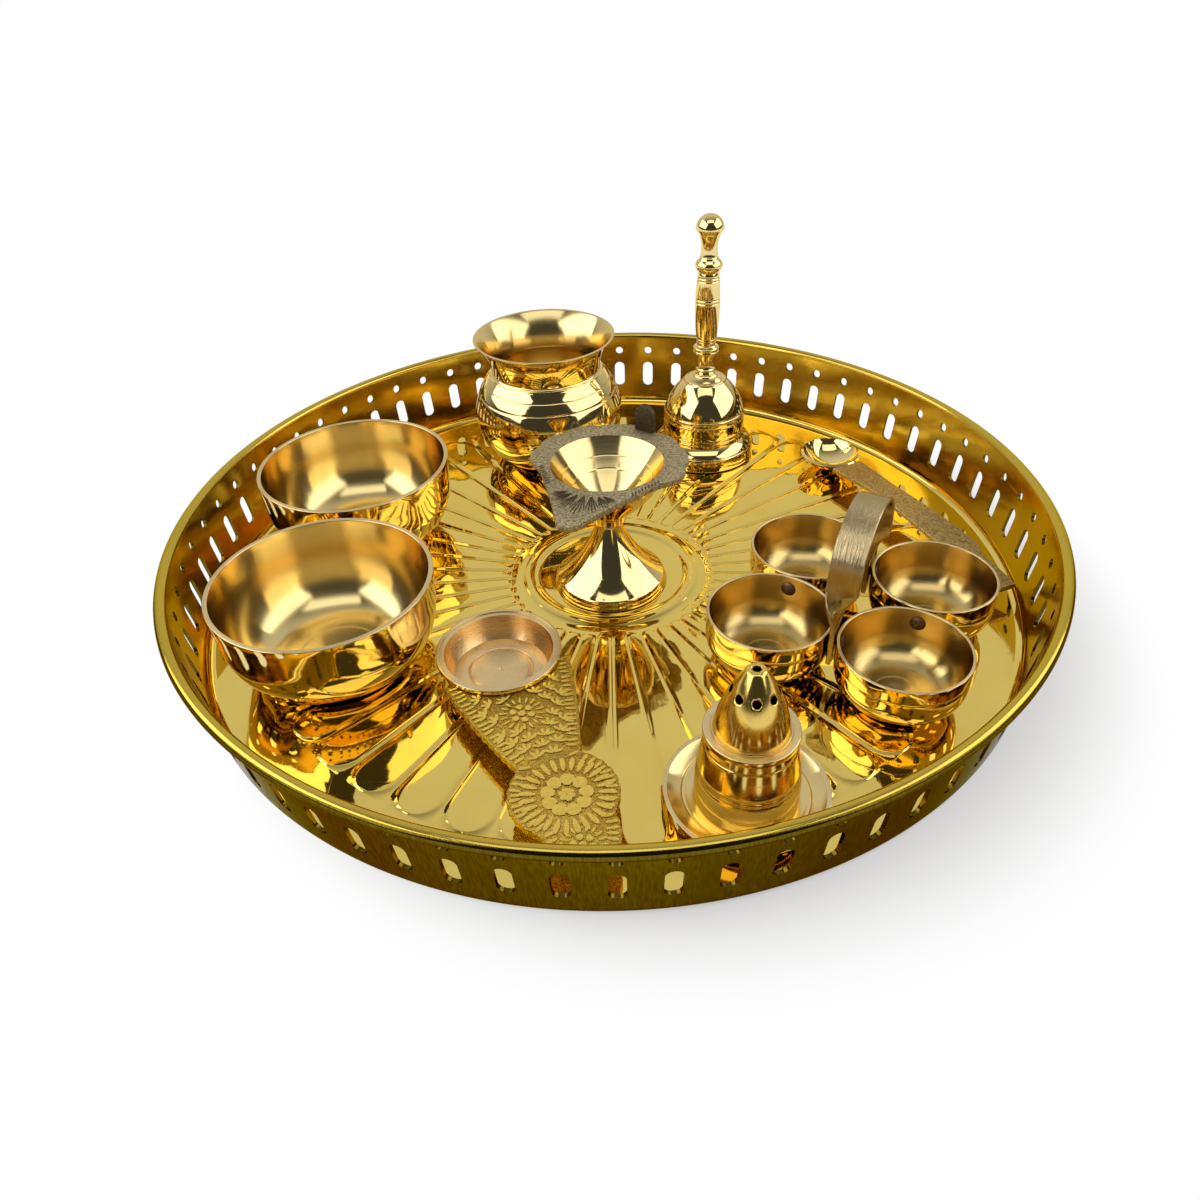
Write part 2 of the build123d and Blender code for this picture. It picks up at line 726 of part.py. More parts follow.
# Kumkum rivets, each headed inside the two bowls that it joins
head_seat_depth = math.sqrt((kumkum_radius - kumkum_wall) ** 2 - rivet_head_radius**2) - fit_clearance
rivet_dome_radius = (rivet_head_radius**2 + rivet_head_height**2) / (2 * rivet_head_height)
rivet_places = {
    "left": ((-column_half, 0), kumkum_seat.y_dir, row_half),
    "right": ((column_half, 0), kumkum_seat.y_dir, row_half),
    "front": ((0, -row_half), kumkum_seat.x_dir, column_half),
    "rear": ((0, row_half), kumkum_seat.x_dir, column_half),
}
for name, (spot, direction, reach) in rivet_places.items():
    grip = reach - head_seat_depth
    rivet_center = kumkum_seat.from_local_coords((*spot, kumkum_rivet_level))
    with BuildPart() as kumkum_rivet:
        with BuildSketch(Plane(rivet_center, x_dir=direction, z_dir=kumkum_seat.z_dir)):
            with BuildLine():
                RadiusArc((-grip - rivet_head_height, 0), (-grip, rivet_head_radius), rivet_dome_radius)
                RadiusArc((grip, rivet_head_radius), (grip + rivet_head_height, 0), rivet_dome_radius)
                Polyline(
                    (-grip, rivet_head_radius),
                    (-grip, rivet_radius),
                    (grip, rivet_radius),
                    (grip, rivet_head_radius),
                )
                Line((-grip - rivet_head_height, 0), (grip + rivet_head_height, 0))
            make_face()
        revolve(axis=Axis(rivet_center, direction))
    finish(kumkum_rivet, f"kumkum_rivet_{name}")

# Incense saucer on its foot ring
incense_place = polar(floor_radius - saucer_radius - incense_wall_gap, incense_angle)
incense_seat = seat(incense_place, stand_level)
well_level = saucer_lift + saucer_wall
screw_hole_radius = screw_radius + fit_clearance
with BuildPart() as incense_saucer:
    with BuildSketch(upright(incense_seat)):
        with BuildLine():
            Polyline(
                (screw_hole_radius, well_level),
                (screw_hole_radius, saucer_lift),
                (saucer_foot_radius - saucer_foot_width, saucer_lift),
                (saucer_foot_radius - saucer_foot_width, 0),
                (saucer_foot_radius, 0),
                (saucer_foot_radius, saucer_lift),
            )
            saucer_lip = (saucer_radius - saucer_wall, saucer_height)
            SagittaArc((saucer_foot_radius, saucer_lift), (saucer_radius, saucer_height), -saucer_bow)
            Line((saucer_radius, saucer_height), saucer_lip)
            SagittaArc((saucer_well_radius, well_level), saucer_lip, -saucer_bow / 2)
            Line((saucer_well_radius, well_level), (screw_hole_radius, well_level))
        make_face()
    revolve(axis=spindle(incense_seat))
finish(incense_saucer, "incense_saucer")

# Incense body: a tapered drum with a collar, a socket above and a screw hole below
body_seat = incense_seat.offset(well_level)
body_top = body_height + collar_height
nose_socket_radius = nose_spigot_radius + fit_clearance
nose_socket_floor = body_top - nose_spigot_height - fit_clearance
screw_hole_top = screw_length - saucer_wall + fit_clearance
with BuildPart() as incense_body:
    with BuildSketch(upright(body_seat)):
        with BuildLine():
            Line((screw_hole_radius, 0), (body_foot_radius, 0))
            SagittaArc((body_foot_radius, 0), (body_neck_radius, body_height), -body_bow)
            Polyline(
                (body_neck_radius, body_height),
                (collar_radius, body_height + collar_taper),
                (collar_radius, body_top),
                (nose_socket_radius, body_top),
                (nose_socket_radius, nose_socket_floor),
                (0, nose_socket_floor),
                (0, screw_hole_top),
                (screw_hole_radius, screw_hole_top),
                (screw_hole_radius, 0),
            )
        make_face()
    revolve(axis=spindle(body_seat))
finish(incense_body, "incense_body")

# Incense nose: an ogive with a stick hole in its tip and a ring of holes round its side
nose_seat = body_seat.offset(body_top)
side_hole_share = side_hole_level / nose_height
side_hole_radius = nose_radius + side_hole_share * (nose_tip_radius - nose_radius)
with BuildPart() as incense_nose:
    with BuildSketch(upright(nose_seat)):
        with BuildLine():
            Polyline(
                (0, nose_height),
                (0, -nose_spigot_height),
                (nose_spigot_radius, -nose_spigot_height),
                (nose_spigot_radius, 0),
                (nose_radius, 0),
            )
            SagittaArc((nose_radius, 0), (nose_tip_radius, nose_height), -nose_bow)
            Line((nose_tip_radius, nose_height), (0, nose_height))
        make_face()
    revolve(axis=spindle(nose_seat))
    with BuildSketch(nose_seat.offset(nose_height + overrun)):
        Circle(stick_hole_radius)
    extrude(amount=-stick_hole_depth - overrun, mode=Mode.SUBTRACT)
    for hole in range(side_hole_count):
        hole_seat = nose_seat.rotated((0, 0, side_hole_first_angle + hole * 360 / side_hole_count))
        mouth = hole_seat.from_local_coords((side_hole_radius, 0, side_hole_level))
        rising = hole_seat.x_dir + hole_seat.z_dir * math.tan(math.radians(side_hole_dip))
        with BuildSketch(Plane(mouth, z_dir=rising)):
            Circle(stick_hole_radius)
        extrude(amount=nose_bow + overrun, mode=Mode.SUBTRACT)
        with BuildSketch(Plane(mouth, z_dir=-rising)):
            Circle(stick_hole_radius)
        extrude(amount=side_hole_depth - nose_bow, mode=Mode.SUBTRACT)
finish(incense_nose, "incense_nose")

# Screw up through the saucer into the body
with BuildPart() as incense_screw:
    with BuildSketch(incense_seat.offset(saucer_lift - screw_head_height)):
        Circle(screw_head_radius)
    extrude(amount=screw_head_height)
    with BuildSketch(incense_seat.offset(saucer_lift)):
        Circle(screw_radius)
    extrude(amount=screw_length)
finish(incense_screw, "incense_screw")

# Aarti dish: stepped rim, straight side for the yoke and a flat floor
aarti_tip = polar(floor_radius - aarti_wall_gap, aarti_tip_angle)
aarti_place = aarti_tip - polar(handle_reach, aarti_turn)
aarti_seat = seat(aarti_place, stand_level, aarti_turn)
flange_underside = dish_height - dish_flange_thickness
step_level = dish_height - dish_step_depth
with BuildPart() as aarti_dish:
    with BuildSketch(upright(aarti_seat)):
        with BuildLine():
            Line((0, 0), (dish_base_radius, 0))
            SagittaArc((dish_base_radius, 0), (dish_side_radius, dish_side_level), -dish_side_bow)
            Polyline(
                (dish_side_radius, dish_side_level),
                (dish_side_radius, flange_underside),
                (dish_radius, flange_underside),
                (dish_radius, dish_height),
                (dish_step_radius, dish_height),
                (dish_step_radius, step_level),
                (dish_mouth_radius, step_level),
            )
            SagittaArc((dish_floor_radius, dish_floor_level), (dish_mouth_radius, step_level), -dish_wall_bow)
            Polyline((dish_floor_radius, dish_floor_level), (0, dish_floor_level), (0, 0))
        make_face()
    revolve(axis=spindle(aarti_seat))
finish(aarti_dish, "aarti_dish")

# Aarti handle: a cast leaf whose yoke holds the dish under its rim
plate_level = flange_underside - handle_plate_thickness - fit_clearance
with BuildPart() as aarti_handle:
    with BuildSketch(aarti_seat.offset(plate_level)):
        with BuildLine():
            for side in (1, -1):
                yoke = (yoke_reach, side * yoke_half_width)
                waist = (waist_reach, side * waist_half_width)
                fan = (fan_reach, side * fan_half_width)
                bud = (bud_reach, side * bud_half_width)
                SagittaArc(yoke, waist, side * waist_bow)
                SagittaArc(waist, fan, side * fan_bow)
                SagittaArc(fan, bud, side * bud_bow)
            ThreePointArc((bud_reach, bud_half_width), (handle_reach, 0), (bud_reach, -bud_half_width))
            Line((yoke_reach, yoke_half_width), (yoke_reach, -yoke_half_width))
        make_face()
        Circle(dish_side_radius + fit_clearance, mode=Mode.SUBTRACT)
    extrude(amount=handle_plate_thickness)
finish(aarti_handle, "aarti_handle")
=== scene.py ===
"""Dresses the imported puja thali: pressed and turned brass, its ornament, a studio and a camera."""

import logging
import math
from dataclasses import dataclass, field
from enum import Enum
from typing import Callable, Iterable, Sequence

import bmesh
import bpy
from mathutils import Matrix, Vector


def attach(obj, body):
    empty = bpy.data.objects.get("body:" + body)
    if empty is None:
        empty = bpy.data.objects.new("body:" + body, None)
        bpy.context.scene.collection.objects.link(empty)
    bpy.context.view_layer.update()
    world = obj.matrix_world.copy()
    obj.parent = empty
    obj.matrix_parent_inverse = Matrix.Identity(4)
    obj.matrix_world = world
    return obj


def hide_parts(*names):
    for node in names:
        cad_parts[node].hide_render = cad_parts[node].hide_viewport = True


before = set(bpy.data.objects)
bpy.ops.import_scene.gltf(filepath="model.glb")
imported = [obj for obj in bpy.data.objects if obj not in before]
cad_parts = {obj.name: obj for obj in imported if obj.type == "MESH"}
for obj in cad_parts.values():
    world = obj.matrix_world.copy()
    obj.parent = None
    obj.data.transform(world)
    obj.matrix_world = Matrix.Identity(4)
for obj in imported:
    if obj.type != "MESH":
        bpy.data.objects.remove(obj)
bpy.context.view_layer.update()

LOG = logging.getLogger("thali")
MM = 0.001
FULL_TURN = 2 * math.pi
UP = Vector((0, 0, 1))
SIDEWAYS = Vector((1, 0, 0))
CREASE = math.radians(36)
CORNER = math.radians(60)
MERGE = 0.004
RING_TOLERANCE = 0.2
NOUGHT = 1e-6
FIT = 0.05
BEND_LIMIT = 0.45
BEND_STEPS = (0.0, 0.25, 0.5, 0.75, 1.0)
RING_STEPS = (-1.0, -0.6, -0.3, 0.0, 0.3, 0.6, 1.0)
PHOTO_WIDTH = 1200
SHADER = "Principled BSDF"

Pair = tuple[float, float]
Triple = tuple[float, float, float]
Colour = Triple
Place = Callable[[float, float], Pair]
Mesh = bmesh.types.BMesh
Edge = bmesh.types.BMEdge
Vert = bmesh.types.BMVert
Face = bmesh.types.BMFace
Socket = bpy.types.NodeSocket
Outputs = bpy.types.NodeOutputs
Feeds = dict[str | int, object]


def vector_field(*place: float) -> Vector:
    """Field of a dataclass that starts as a vector of its own."""
    return field(default_factory=lambda: Vector(place))


def stand(place: Vector, turn: float) -> Matrix:
    """Where a piece's own axes stand, turned by degrees about the upright."""
    return Matrix.Translation(place) @ Matrix.Rotation(math.radians(turn), 4, "Z")


def on_floor(radius: float, angle: float, level: float = 0.0) -> Vector:
    """Point at a radius and an angle in degrees about the upright axis, at a level."""
    return Matrix.Rotation(math.radians(angle), 3, "Z") @ Vector((radius, 0, level))


class Slot(Enum):
    """The record's material slots."""

    TRAY = "tray_brass"
    VESSEL = "vessel_brass"
    CAST = "cast_brass"
    BRUSHED = "brushed_brass"
    FIXING = "fixing_brass"


class Surface(Enum):
    """How a brass surface was left by its maker."""

    POLISHED = "polished"
    TURNED = "turned"
    BRUSHED = "brushed"
    CAST = "cast"
    STROKED = "stroked"


class Effect(Enum):
    """Shader effects that several finishes share."""

    WAVER = "polish_waver"
    MARKS = "handling_marks"
    SCRATCHES = "hair_scratches"
    TURNED_LINES = "turned_lines"
    BRUSH_LINES = "brush_lines"
    GRAIN = "cast_grain"
    STROKES = "upright_strokes"


class Wiring:
    """Adds nodes to a shader tree and joins them."""

    def __init__(self, tree: bpy.types.NodeTree) -> None:
        """Work in a node tree."""
        self.tree = tree

    def feed(self, node: bpy.types.Node, sockets: Feeds) -> None:
        """Set a node's inputs.

        Args:
            node: The node.
            sockets: For each input a value, or the output that is joined to it.
        """
        for key, value in sockets.items():
            if isinstance(value, Socket):
                self.tree.links.new(value, node.inputs[key])
            else:
                node.inputs[key].default_value = value

    def add(self, kind: str, sockets: Feeds, **settings: object) -> Outputs:
        """Add a node.

        Args:
            kind: Its type, without the prefix that every shader node's type has.
            sockets: What its inputs take.
            settings: Its own settings.

        Returns:
            Its outputs.
        """
        node = self.tree.nodes.new(f"ShaderNode{kind}")
        for name, value in settings.items():
            setattr(node, name, value)
        self.feed(node, sockets)
        return node.outputs

    def maths(self, operation: str, *terms: object) -> Socket:
        """Work out one sum."""
        return self.add("Math", dict(enumerate(terms)), operation=operation)[0]

    def noise(self, **sockets: object) -> Socket:
        """Lay one noise, with its inputs by name."""
        return self.add("TexNoise", sockets)["Fac"]

    def span(self, value: Socket, low: float, high: float) -> Socket:
        """Spread what lies between two values from nought to one."""
        return self.add("MapRange", {"Value": value, "From Min": low, "From Max": high})["Result"]

    def blend(self, share: Socket, first: object, second: object) -> Socket:
        """Blend two colours."""
        return self.add("Mix", {"Factor": share, 6: first, 7: second}, data_type="RGBA")[2]

    def attribute(self, name: str) -> Outputs:
        """Read an attribute of the mesh."""
        return self.add("Attribute", {}, attribute_name=name)


class EffectShop(Wiring):
    """Builds each shared shader group once and hands it out."""

    start: Outputs

    @staticmethod
    def group(effect: Effect) -> bpy.types.NodeTree:
        """Find or build the node group of an effect.

        Args:
            effect: The effect wanted.

        Returns:
            Its shader node group.
        """
        found = bpy.data.node_groups.get(effect.value)
        if found:
            return found
        shop = EffectShop(bpy.data.node_groups.new(effect.value, "ShaderNodeTree"))
        recipes: dict[Effect, tuple[Callable[[], Feeds], Sequence[str]]] = {
            Effect.WAVER: (shop._waver, ("Vector", "Scale", "Ripple")),
            Effect.MARKS: (shop._marks, ("Vector", "Clean", "Worn", "Amount")),
            Effect.SCRATCHES: (shop._scratches, ("Vector",)),
            Effect.TURNED_LINES: (shop._turned_lines, ("Along", "Lines")),
            Effect.BRUSH_LINES: (shop._brush_lines, ("Along", "Across", "Lines")),
            Effect.GRAIN: (shop._grain, ("Vector", "Scale")),
            Effect.STROKES: (shop._strokes, ("Vector", "Scale")),
        }
        recipe, inputs = recipes[effect]
        shop._name_sockets("INPUT", inputs)
        shop.start = shop.tree.nodes.new("NodeGroupInput").outputs
        made = recipe()
        shop._name_sockets("OUTPUT", made)
        shop.feed(shop.tree.nodes.new("NodeGroupOutput"), made)
        return shop.tree

    def _name_sockets(self, side: str, names: Iterable[str]) -> None:
        """Give the group its named sockets.

        Args:
            side: INPUT or OUTPUT.
            names: The sockets' names.
        """
        kinds = {"Vector": "Vector", "Clean": "Color", "Worn": "Color", "Colour": "Color"}
        for name in names:
            kind = f"NodeSocket{kinds.get(name, 'Float')}"
            self.tree.interface.new_socket(name, in_out=side, socket_type=kind)

    def _waver(self) -> Feeds:
        """Slow swell of a hand-held polishing wheel, with a finer ripple on it.

        Returns:
            The height of the swell.
        """
        place = self.start["Vector"]
        swell = self.noise(Vector=place, Scale=self.start["Scale"], Detail=1.0)
        fine = self.noise(Vector=place, Scale=260.0, Detail=2.0)
        return {"Height": self.maths("MULTIPLY_ADD", fine, self.start["Ripple"], swell)}

    def _strokes(self) -> Feeds:
        """Fine strokes that run up and down a wall.

        Returns:
            The height of the strokes, and the mask of the deep ones.
        """
        stretch = {0: self.start["Vector"], 1: (1.0, 1.0, 0.06)}
        upright = self.add("VectorMath", stretch, operation="MULTIPLY")["Vector"]
        lines = self.noise(Vector=upright, Scale=self.start["Scale"], Detail=4.0)
        return {"Height": lines, "Pits": self.span(lines, 0.38, 0.68)}

    def _marks(self) -> Feeds:
        """Clouds of tarnish and finger marks between two colours.

        Returns:
            The colour, and the mask of the worn places.
        """
        cloud = self.noise(Vector=self.start["Vector"], Scale=38.0, Detail=7.0, Roughness=0.62)
        share = self.maths("MULTIPLY", self.span(cloud, 0.42, 0.78), self.start["Amount"])
        colour = self.blend(share, self.start["Clean"], self.start["Worn"])
        return {"Colour": colour, "Mask": share}

    def _scratches(self) -> Feeds:
        """Fine hair scratches that run two ways across a surface.

        Returns:
            The mask of the scratches.
        """
        lines: list[Socket] = []
        for turn, stretch in ((0.6, (900.0, 14.0, 900.0)), (-0.9, (14.0, 1100.0, 900.0))):
            lay = {"Vector": self.start["Vector"], "Rotation": (0.0, 0.0, turn), "Scale": stretch}
            along = self.add("Mapping", lay)["Vector"]
            hair = self.noise(Vector=along, Scale=1.0, Detail=1.0)
            lines.append(self.span(hair, 0.64, 0.74))
        return {"Mask": self.maths("MAXIMUM", *lines)}

    def _turned_lines(self) -> Feeds:
        """Rings that a lathe tool leaves, spaced along the profile.

        Returns:
            The height of the rings.
        """
        count = self.maths("MULTIPLY", self.start["Along"], self.start["Lines"])
        sockets = {"W": count, "Scale": 1.0, "Detail": 3.0, "Roughness": 0.7}
        return {"Height": self.add("TexNoise", sockets, noise_dimensions="1D")["Fac"]}

    def _brush_lines(self) -> Feeds:
        """Short file and emery strokes laid across a strip.

        Returns:
            The height of the strokes.
        """
        count = self.maths("MULTIPLY", self.start["Along"], self.start["Lines"])
        place = self.add("CombineXYZ", {"X": count, "Y": self.start["Across"]})["Vector"]
        return {"Height": self.noise(Vector=place, Scale=1.0, Detail=4.0, Roughness=0.65)}

    def _grain(self) -> Feeds:
        """Sandy skin of a casting, with pits.

        Returns:
            The height of the grain, and the mask of the pits.
        """
        place, scale = self.start["Vector"], self.start["Scale"]
        sand = self.noise(Vector=place, Scale=scale, Detail=5.0, Roughness=0.7)
        return {"Height": sand, "Pits": self.span(sand, 0.4, 0.66)}


@dataclass(frozen=True)
class Brass:
    """One brass finish: its colours, its shine and the marks of how it was worked."""

    name: str
    slot: Slot
    surface: Surface
    colour: Colour
    worn: Colour
    wear: float
    shine: float
    haze: float
    relief: float
    pitch: float
    ripple: float = 0.02
    streak: float = 0.97
    streak_turn: float = 0.25

    def material(self) -> bpy.types.Material:
        """Find or build the finish's material.

        Returns:
            The material, with its shader and its surface effects.
        """
        found = bpy.data.materials.get(self.name)
        if found:
            return found
        made = bpy.data.materials.new(self.name)
        made.use_nodes = True
        wires = Wiring(made.node_tree)
        place = wires.add("TexCoord", {})["Object"]
        clean, worn = (*self.colour, 1.0), (*self.worn, 1.0)
        clouds = {"Vector": place, "Clean": clean, "Worn": worn, "Amount": self.wear}
        colour = self._effect(wires, Effect.MARKS, clouds)["Colour"]
        height, dull = self._surface(wires, place)
        if self.surface in (Surface.CAST, Surface.STROKED):
            colour = wires.blend(dull, colour, worn)
        shines = {"Value": dull, "To Min": self.shine, "To Max": self.shine + self.haze}
        bumps = {"Strength": 1.0, "Distance": self.relief * MM, "Height": height}
        looks: Feeds = {
            "Metallic": 1.0,
            "Base Color": colour,
            "Specular Tint": (*(math.sqrt(part) for part in self.colour), 1.0),
            "Roughness": wires.add("MapRange", shines)["Result"],
            "Normal": wires.add("Bump", bumps)["Normal"],
        }
        if self.surface is Surface.TURNED:
            looks |= self._streaks(wires)
        wires.feed(made.node_tree.nodes[SHADER], looks)
        return made

    @staticmethod
    def _effect(wires: Wiring, effect: Effect, sockets: Feeds) -> Outputs:
        """Place a shared effect in a material."""
        return wires.add("Group", sockets, node_tree=EffectShop.group(effect))

    def _surface(self, wires: Wiring, place: Socket) -> tuple[Socket, Socket]:
        """Lay the tool marks of the finish's surface.

        Args:
            wires: The material's wiring.
            place: The object's own coordinates.

        Returns:
            The height of the marks, and the mask of the dull places.
        """
        spread: Feeds = {"Vector": place, "Scale": 1 / (self.pitch * MM)}
        if self.surface in (Surface.CAST, Surface.STROKED):
            effect = Effect.GRAIN if self.surface is Surface.CAST else Effect.STROKES
            grain = self._effect(wires, effect, spread)
            return grain["Height"], grain["Pits"]
        if self.surface is Surface.POLISHED:
            waver = self._effect(wires, Effect.WAVER, spread | {"Ripple": self.ripple})
            scratches = self._effect(wires, Effect.SCRATCHES, {"Vector": place})
            return waver["Height"], scratches["Mask"]
        rows: Feeds = {"Along": wires.attribute("along")["Fac"], "Lines": 1 / self.pitch}
        if self.surface is Surface.TURNED:
            lines = self._effect(wires, Effect.TURNED_LINES, rows)
        else:
            rows["Across"] = wires.attribute("across")["Fac"]
            lines = self._effect(wires, Effect.BRUSH_LINES, rows)
        return lines["Height"], lines["Height"]

    def _streaks(self, wires: Wiring) -> Feeds:
        """Draw reflections out across the tool marks, as fine turning does.

        Args:
            wires: The material's wiring.

        Returns:
            What the shader's inputs take for it.
        """
        return {
            "Anisotropic": self.streak,
            "Anisotropic Rotation": self.streak_turn,
            "Tangent": wires.attribute("around")["Vector"],
        }


TRAY_POLISH = Brass(
    "tray_polish", Slot.TRAY, Surface.POLISHED,
    colour=(0.86, 0.64, 0.16), worn=(0.72, 0.49, 0.09),
    wear=0.35, shine=0.04, haze=0.09, relief=0.5, pitch=22,
)
# Same pressed brass as the floor, painted darker and more saturated: painted shade for the dimmer
# reflections on the inner wall and the bead's top.
TRAY_WALL_PAINTED_SHADE = Brass(
    "tray_wall_painted_shade", Slot.TRAY, Surface.POLISHED,
    colour=(0.62, 0.44, 0.07), worn=(0.48, 0.32, 0.04),
    wear=0.4, shine=0.15, haze=0.1, relief=0.3, pitch=18,
)
# Same pressed brass, painted a dark brown: painted shade for the dark reflection on the outside of
# the wall and the bead; its upright strokes and wear are real.
TRAY_OUTSIDE_PAINTED_SHADE = Brass(
    "tray_outside_painted_shade", Slot.TRAY, Surface.STROKED,
    colour=(0.165, 0.112, 0.012), worn=(0.105, 0.068, 0.007),
    wear=0.6, shine=0.1, haze=0.14, relief=0.02, pitch=0.6,
)
VESSEL_POLISH = Brass(
    "vessel_polish", Slot.VESSEL, Surface.POLISHED,
    colour=(0.85, 0.67, 0.29), worn=(0.72, 0.53, 0.19),
    wear=0.25, shine=0.07, haze=0.07, relief=0.1, pitch=12,
)
VESSEL_TURNED = Brass(
    "vessel_turned", Slot.VESSEL, Surface.TURNED,
    colour=(0.81, 0.63, 0.28), worn=(0.64, 0.46, 0.17),
    wear=0.3, shine=0.11, haze=0.08, relief=0.006, pitch=0.6,
)
INCENSE_SATIN = Brass(
    "incense_satin", Slot.VESSEL, Surface.POLISHED,
    colour=(0.82, 0.58, 0.15), worn=(0.66, 0.45, 0.10),
    wear=0.3, shine=0.15, haze=0.1, relief=0.1, pitch=12,
)
BOWL_RINGED = Brass(
    "bowl_ringed", Slot.VESSEL, Surface.TURNED,
    colour=(0.66, 0.49, 0.19), worn=(0.42, 0.29, 0.10),
    wear=0.4, shine=0.11, haze=0.09, relief=0.03, pitch=0.45,
)
RIM_CUT = Brass(
    "rim_cut", Slot.VESSEL, Surface.TURNED,
    colour=(0.80, 0.62, 0.32), worn=(0.54, 0.39, 0.18),
    wear=0.5, shine=0.2, haze=0.15, relief=0.015, pitch=0.3,
)
DISH_TURNED = Brass(
    "dish_turned", Slot.VESSEL, Surface.TURNED,
    colour=(0.84, 0.62, 0.32), worn=(0.46, 0.31, 0.15),
    wear=0.5, shine=0.16, haze=0.18, relief=0.03, pitch=0.35,
)
LAMP_CAST = Brass(
    "lamp_cast", Slot.CAST, Surface.CAST,
    colour=(0.62, 0.52, 0.31), worn=(0.16, 0.12, 0.06),
    wear=0.4, shine=0.34, haze=0.28, relief=0.8, pitch=0.9,
)
LAMP_DARK = Brass(
    "lamp_dark", Slot.CAST, Surface.CAST,
    colour=(0.15, 0.12, 0.075), worn=(0.07, 0.05, 0.03),
    wear=0.7, shine=0.42, haze=0.25, relief=0.3, pitch=0.8,
)
RELIEF_CAST = Brass(
    "relief_cast", Slot.CAST, Surface.CAST,
    colour=(0.97, 0.71, 0.15), worn=(0.80, 0.54, 0.08),
    wear=0.35, shine=0.1, haze=0.12, relief=0.1, pitch=0.7,
)
GROUND_CAST = Brass(
    "ground_cast", Slot.CAST, Surface.CAST,
    colour=(0.72, 0.49, 0.08), worn=(0.32, 0.19, 0.03),
    wear=0.5, shine=0.18, haze=0.2, relief=0.4, pitch=0.8,
)
STRIP_BRUSHED = Brass(
    "strip_brushed", Slot.BRUSHED, Surface.BRUSHED,
    colour=(0.52, 0.41, 0.22), worn=(0.27, 0.19, 0.09),
    wear=0.7, shine=0.08, haze=0.2, relief=0.3, pitch=0.6,
)
SPOON_ENGRAVED = Brass(
    "spoon_engraved", Slot.BRUSHED, Surface.CAST,
    colour=(0.62, 0.45, 0.19), worn=(0.26, 0.17, 0.06),
    wear=0.6, shine=0.22, haze=0.22, relief=0.4, pitch=0.8,
)
FIXING_DULL = Brass(
    "fixing_dull", Slot.FIXING, Surface.CAST,
    colour=(0.22, 0.14, 0.08), worn=(0.10, 0.06, 0.04),
    wear=0.6, shine=0.4, haze=0.2, relief=0.1, pitch=0.6,
)
FIXING_BRIGHT = Brass(
    "fixing_bright", Slot.FIXING, Surface.POLISHED,
    colour=(0.78, 0.58, 0.26), worn=(0.50, 0.34, 0.14),
    wear=0.6, shine=0.18, haze=0.2, relief=0.1, pitch=5,
)
# Near-black brass for the faces inside the incense nose's stick holes: painted shade where the
# holes' own shade falls.
BORE_PAINTED_SHADE = Brass(
    "bore_painted_shade", Slot.VESSEL, Surface.CAST,
    colour=(0.012, 0.010, 0.008), worn=(0.005, 0.004, 0.003),
    wear=0.5, shine=0.6, haze=0.2, relief=0.1, pitch=0.6,
)


@dataclass(frozen=True)
class Groove:
    """A ring cut into a turned run, or a bead raised on it where the depth is negative."""

    share: float
    depth: float
    half_width: float

    def offset(self, distance: float) -> float:
        """How deep the ring is at a distance from its middle."""
        inside = min(1.0, abs(distance) / self.half_width)
        return self.depth * (0.5 + 0.5 * math.cos(math.pi * inside))


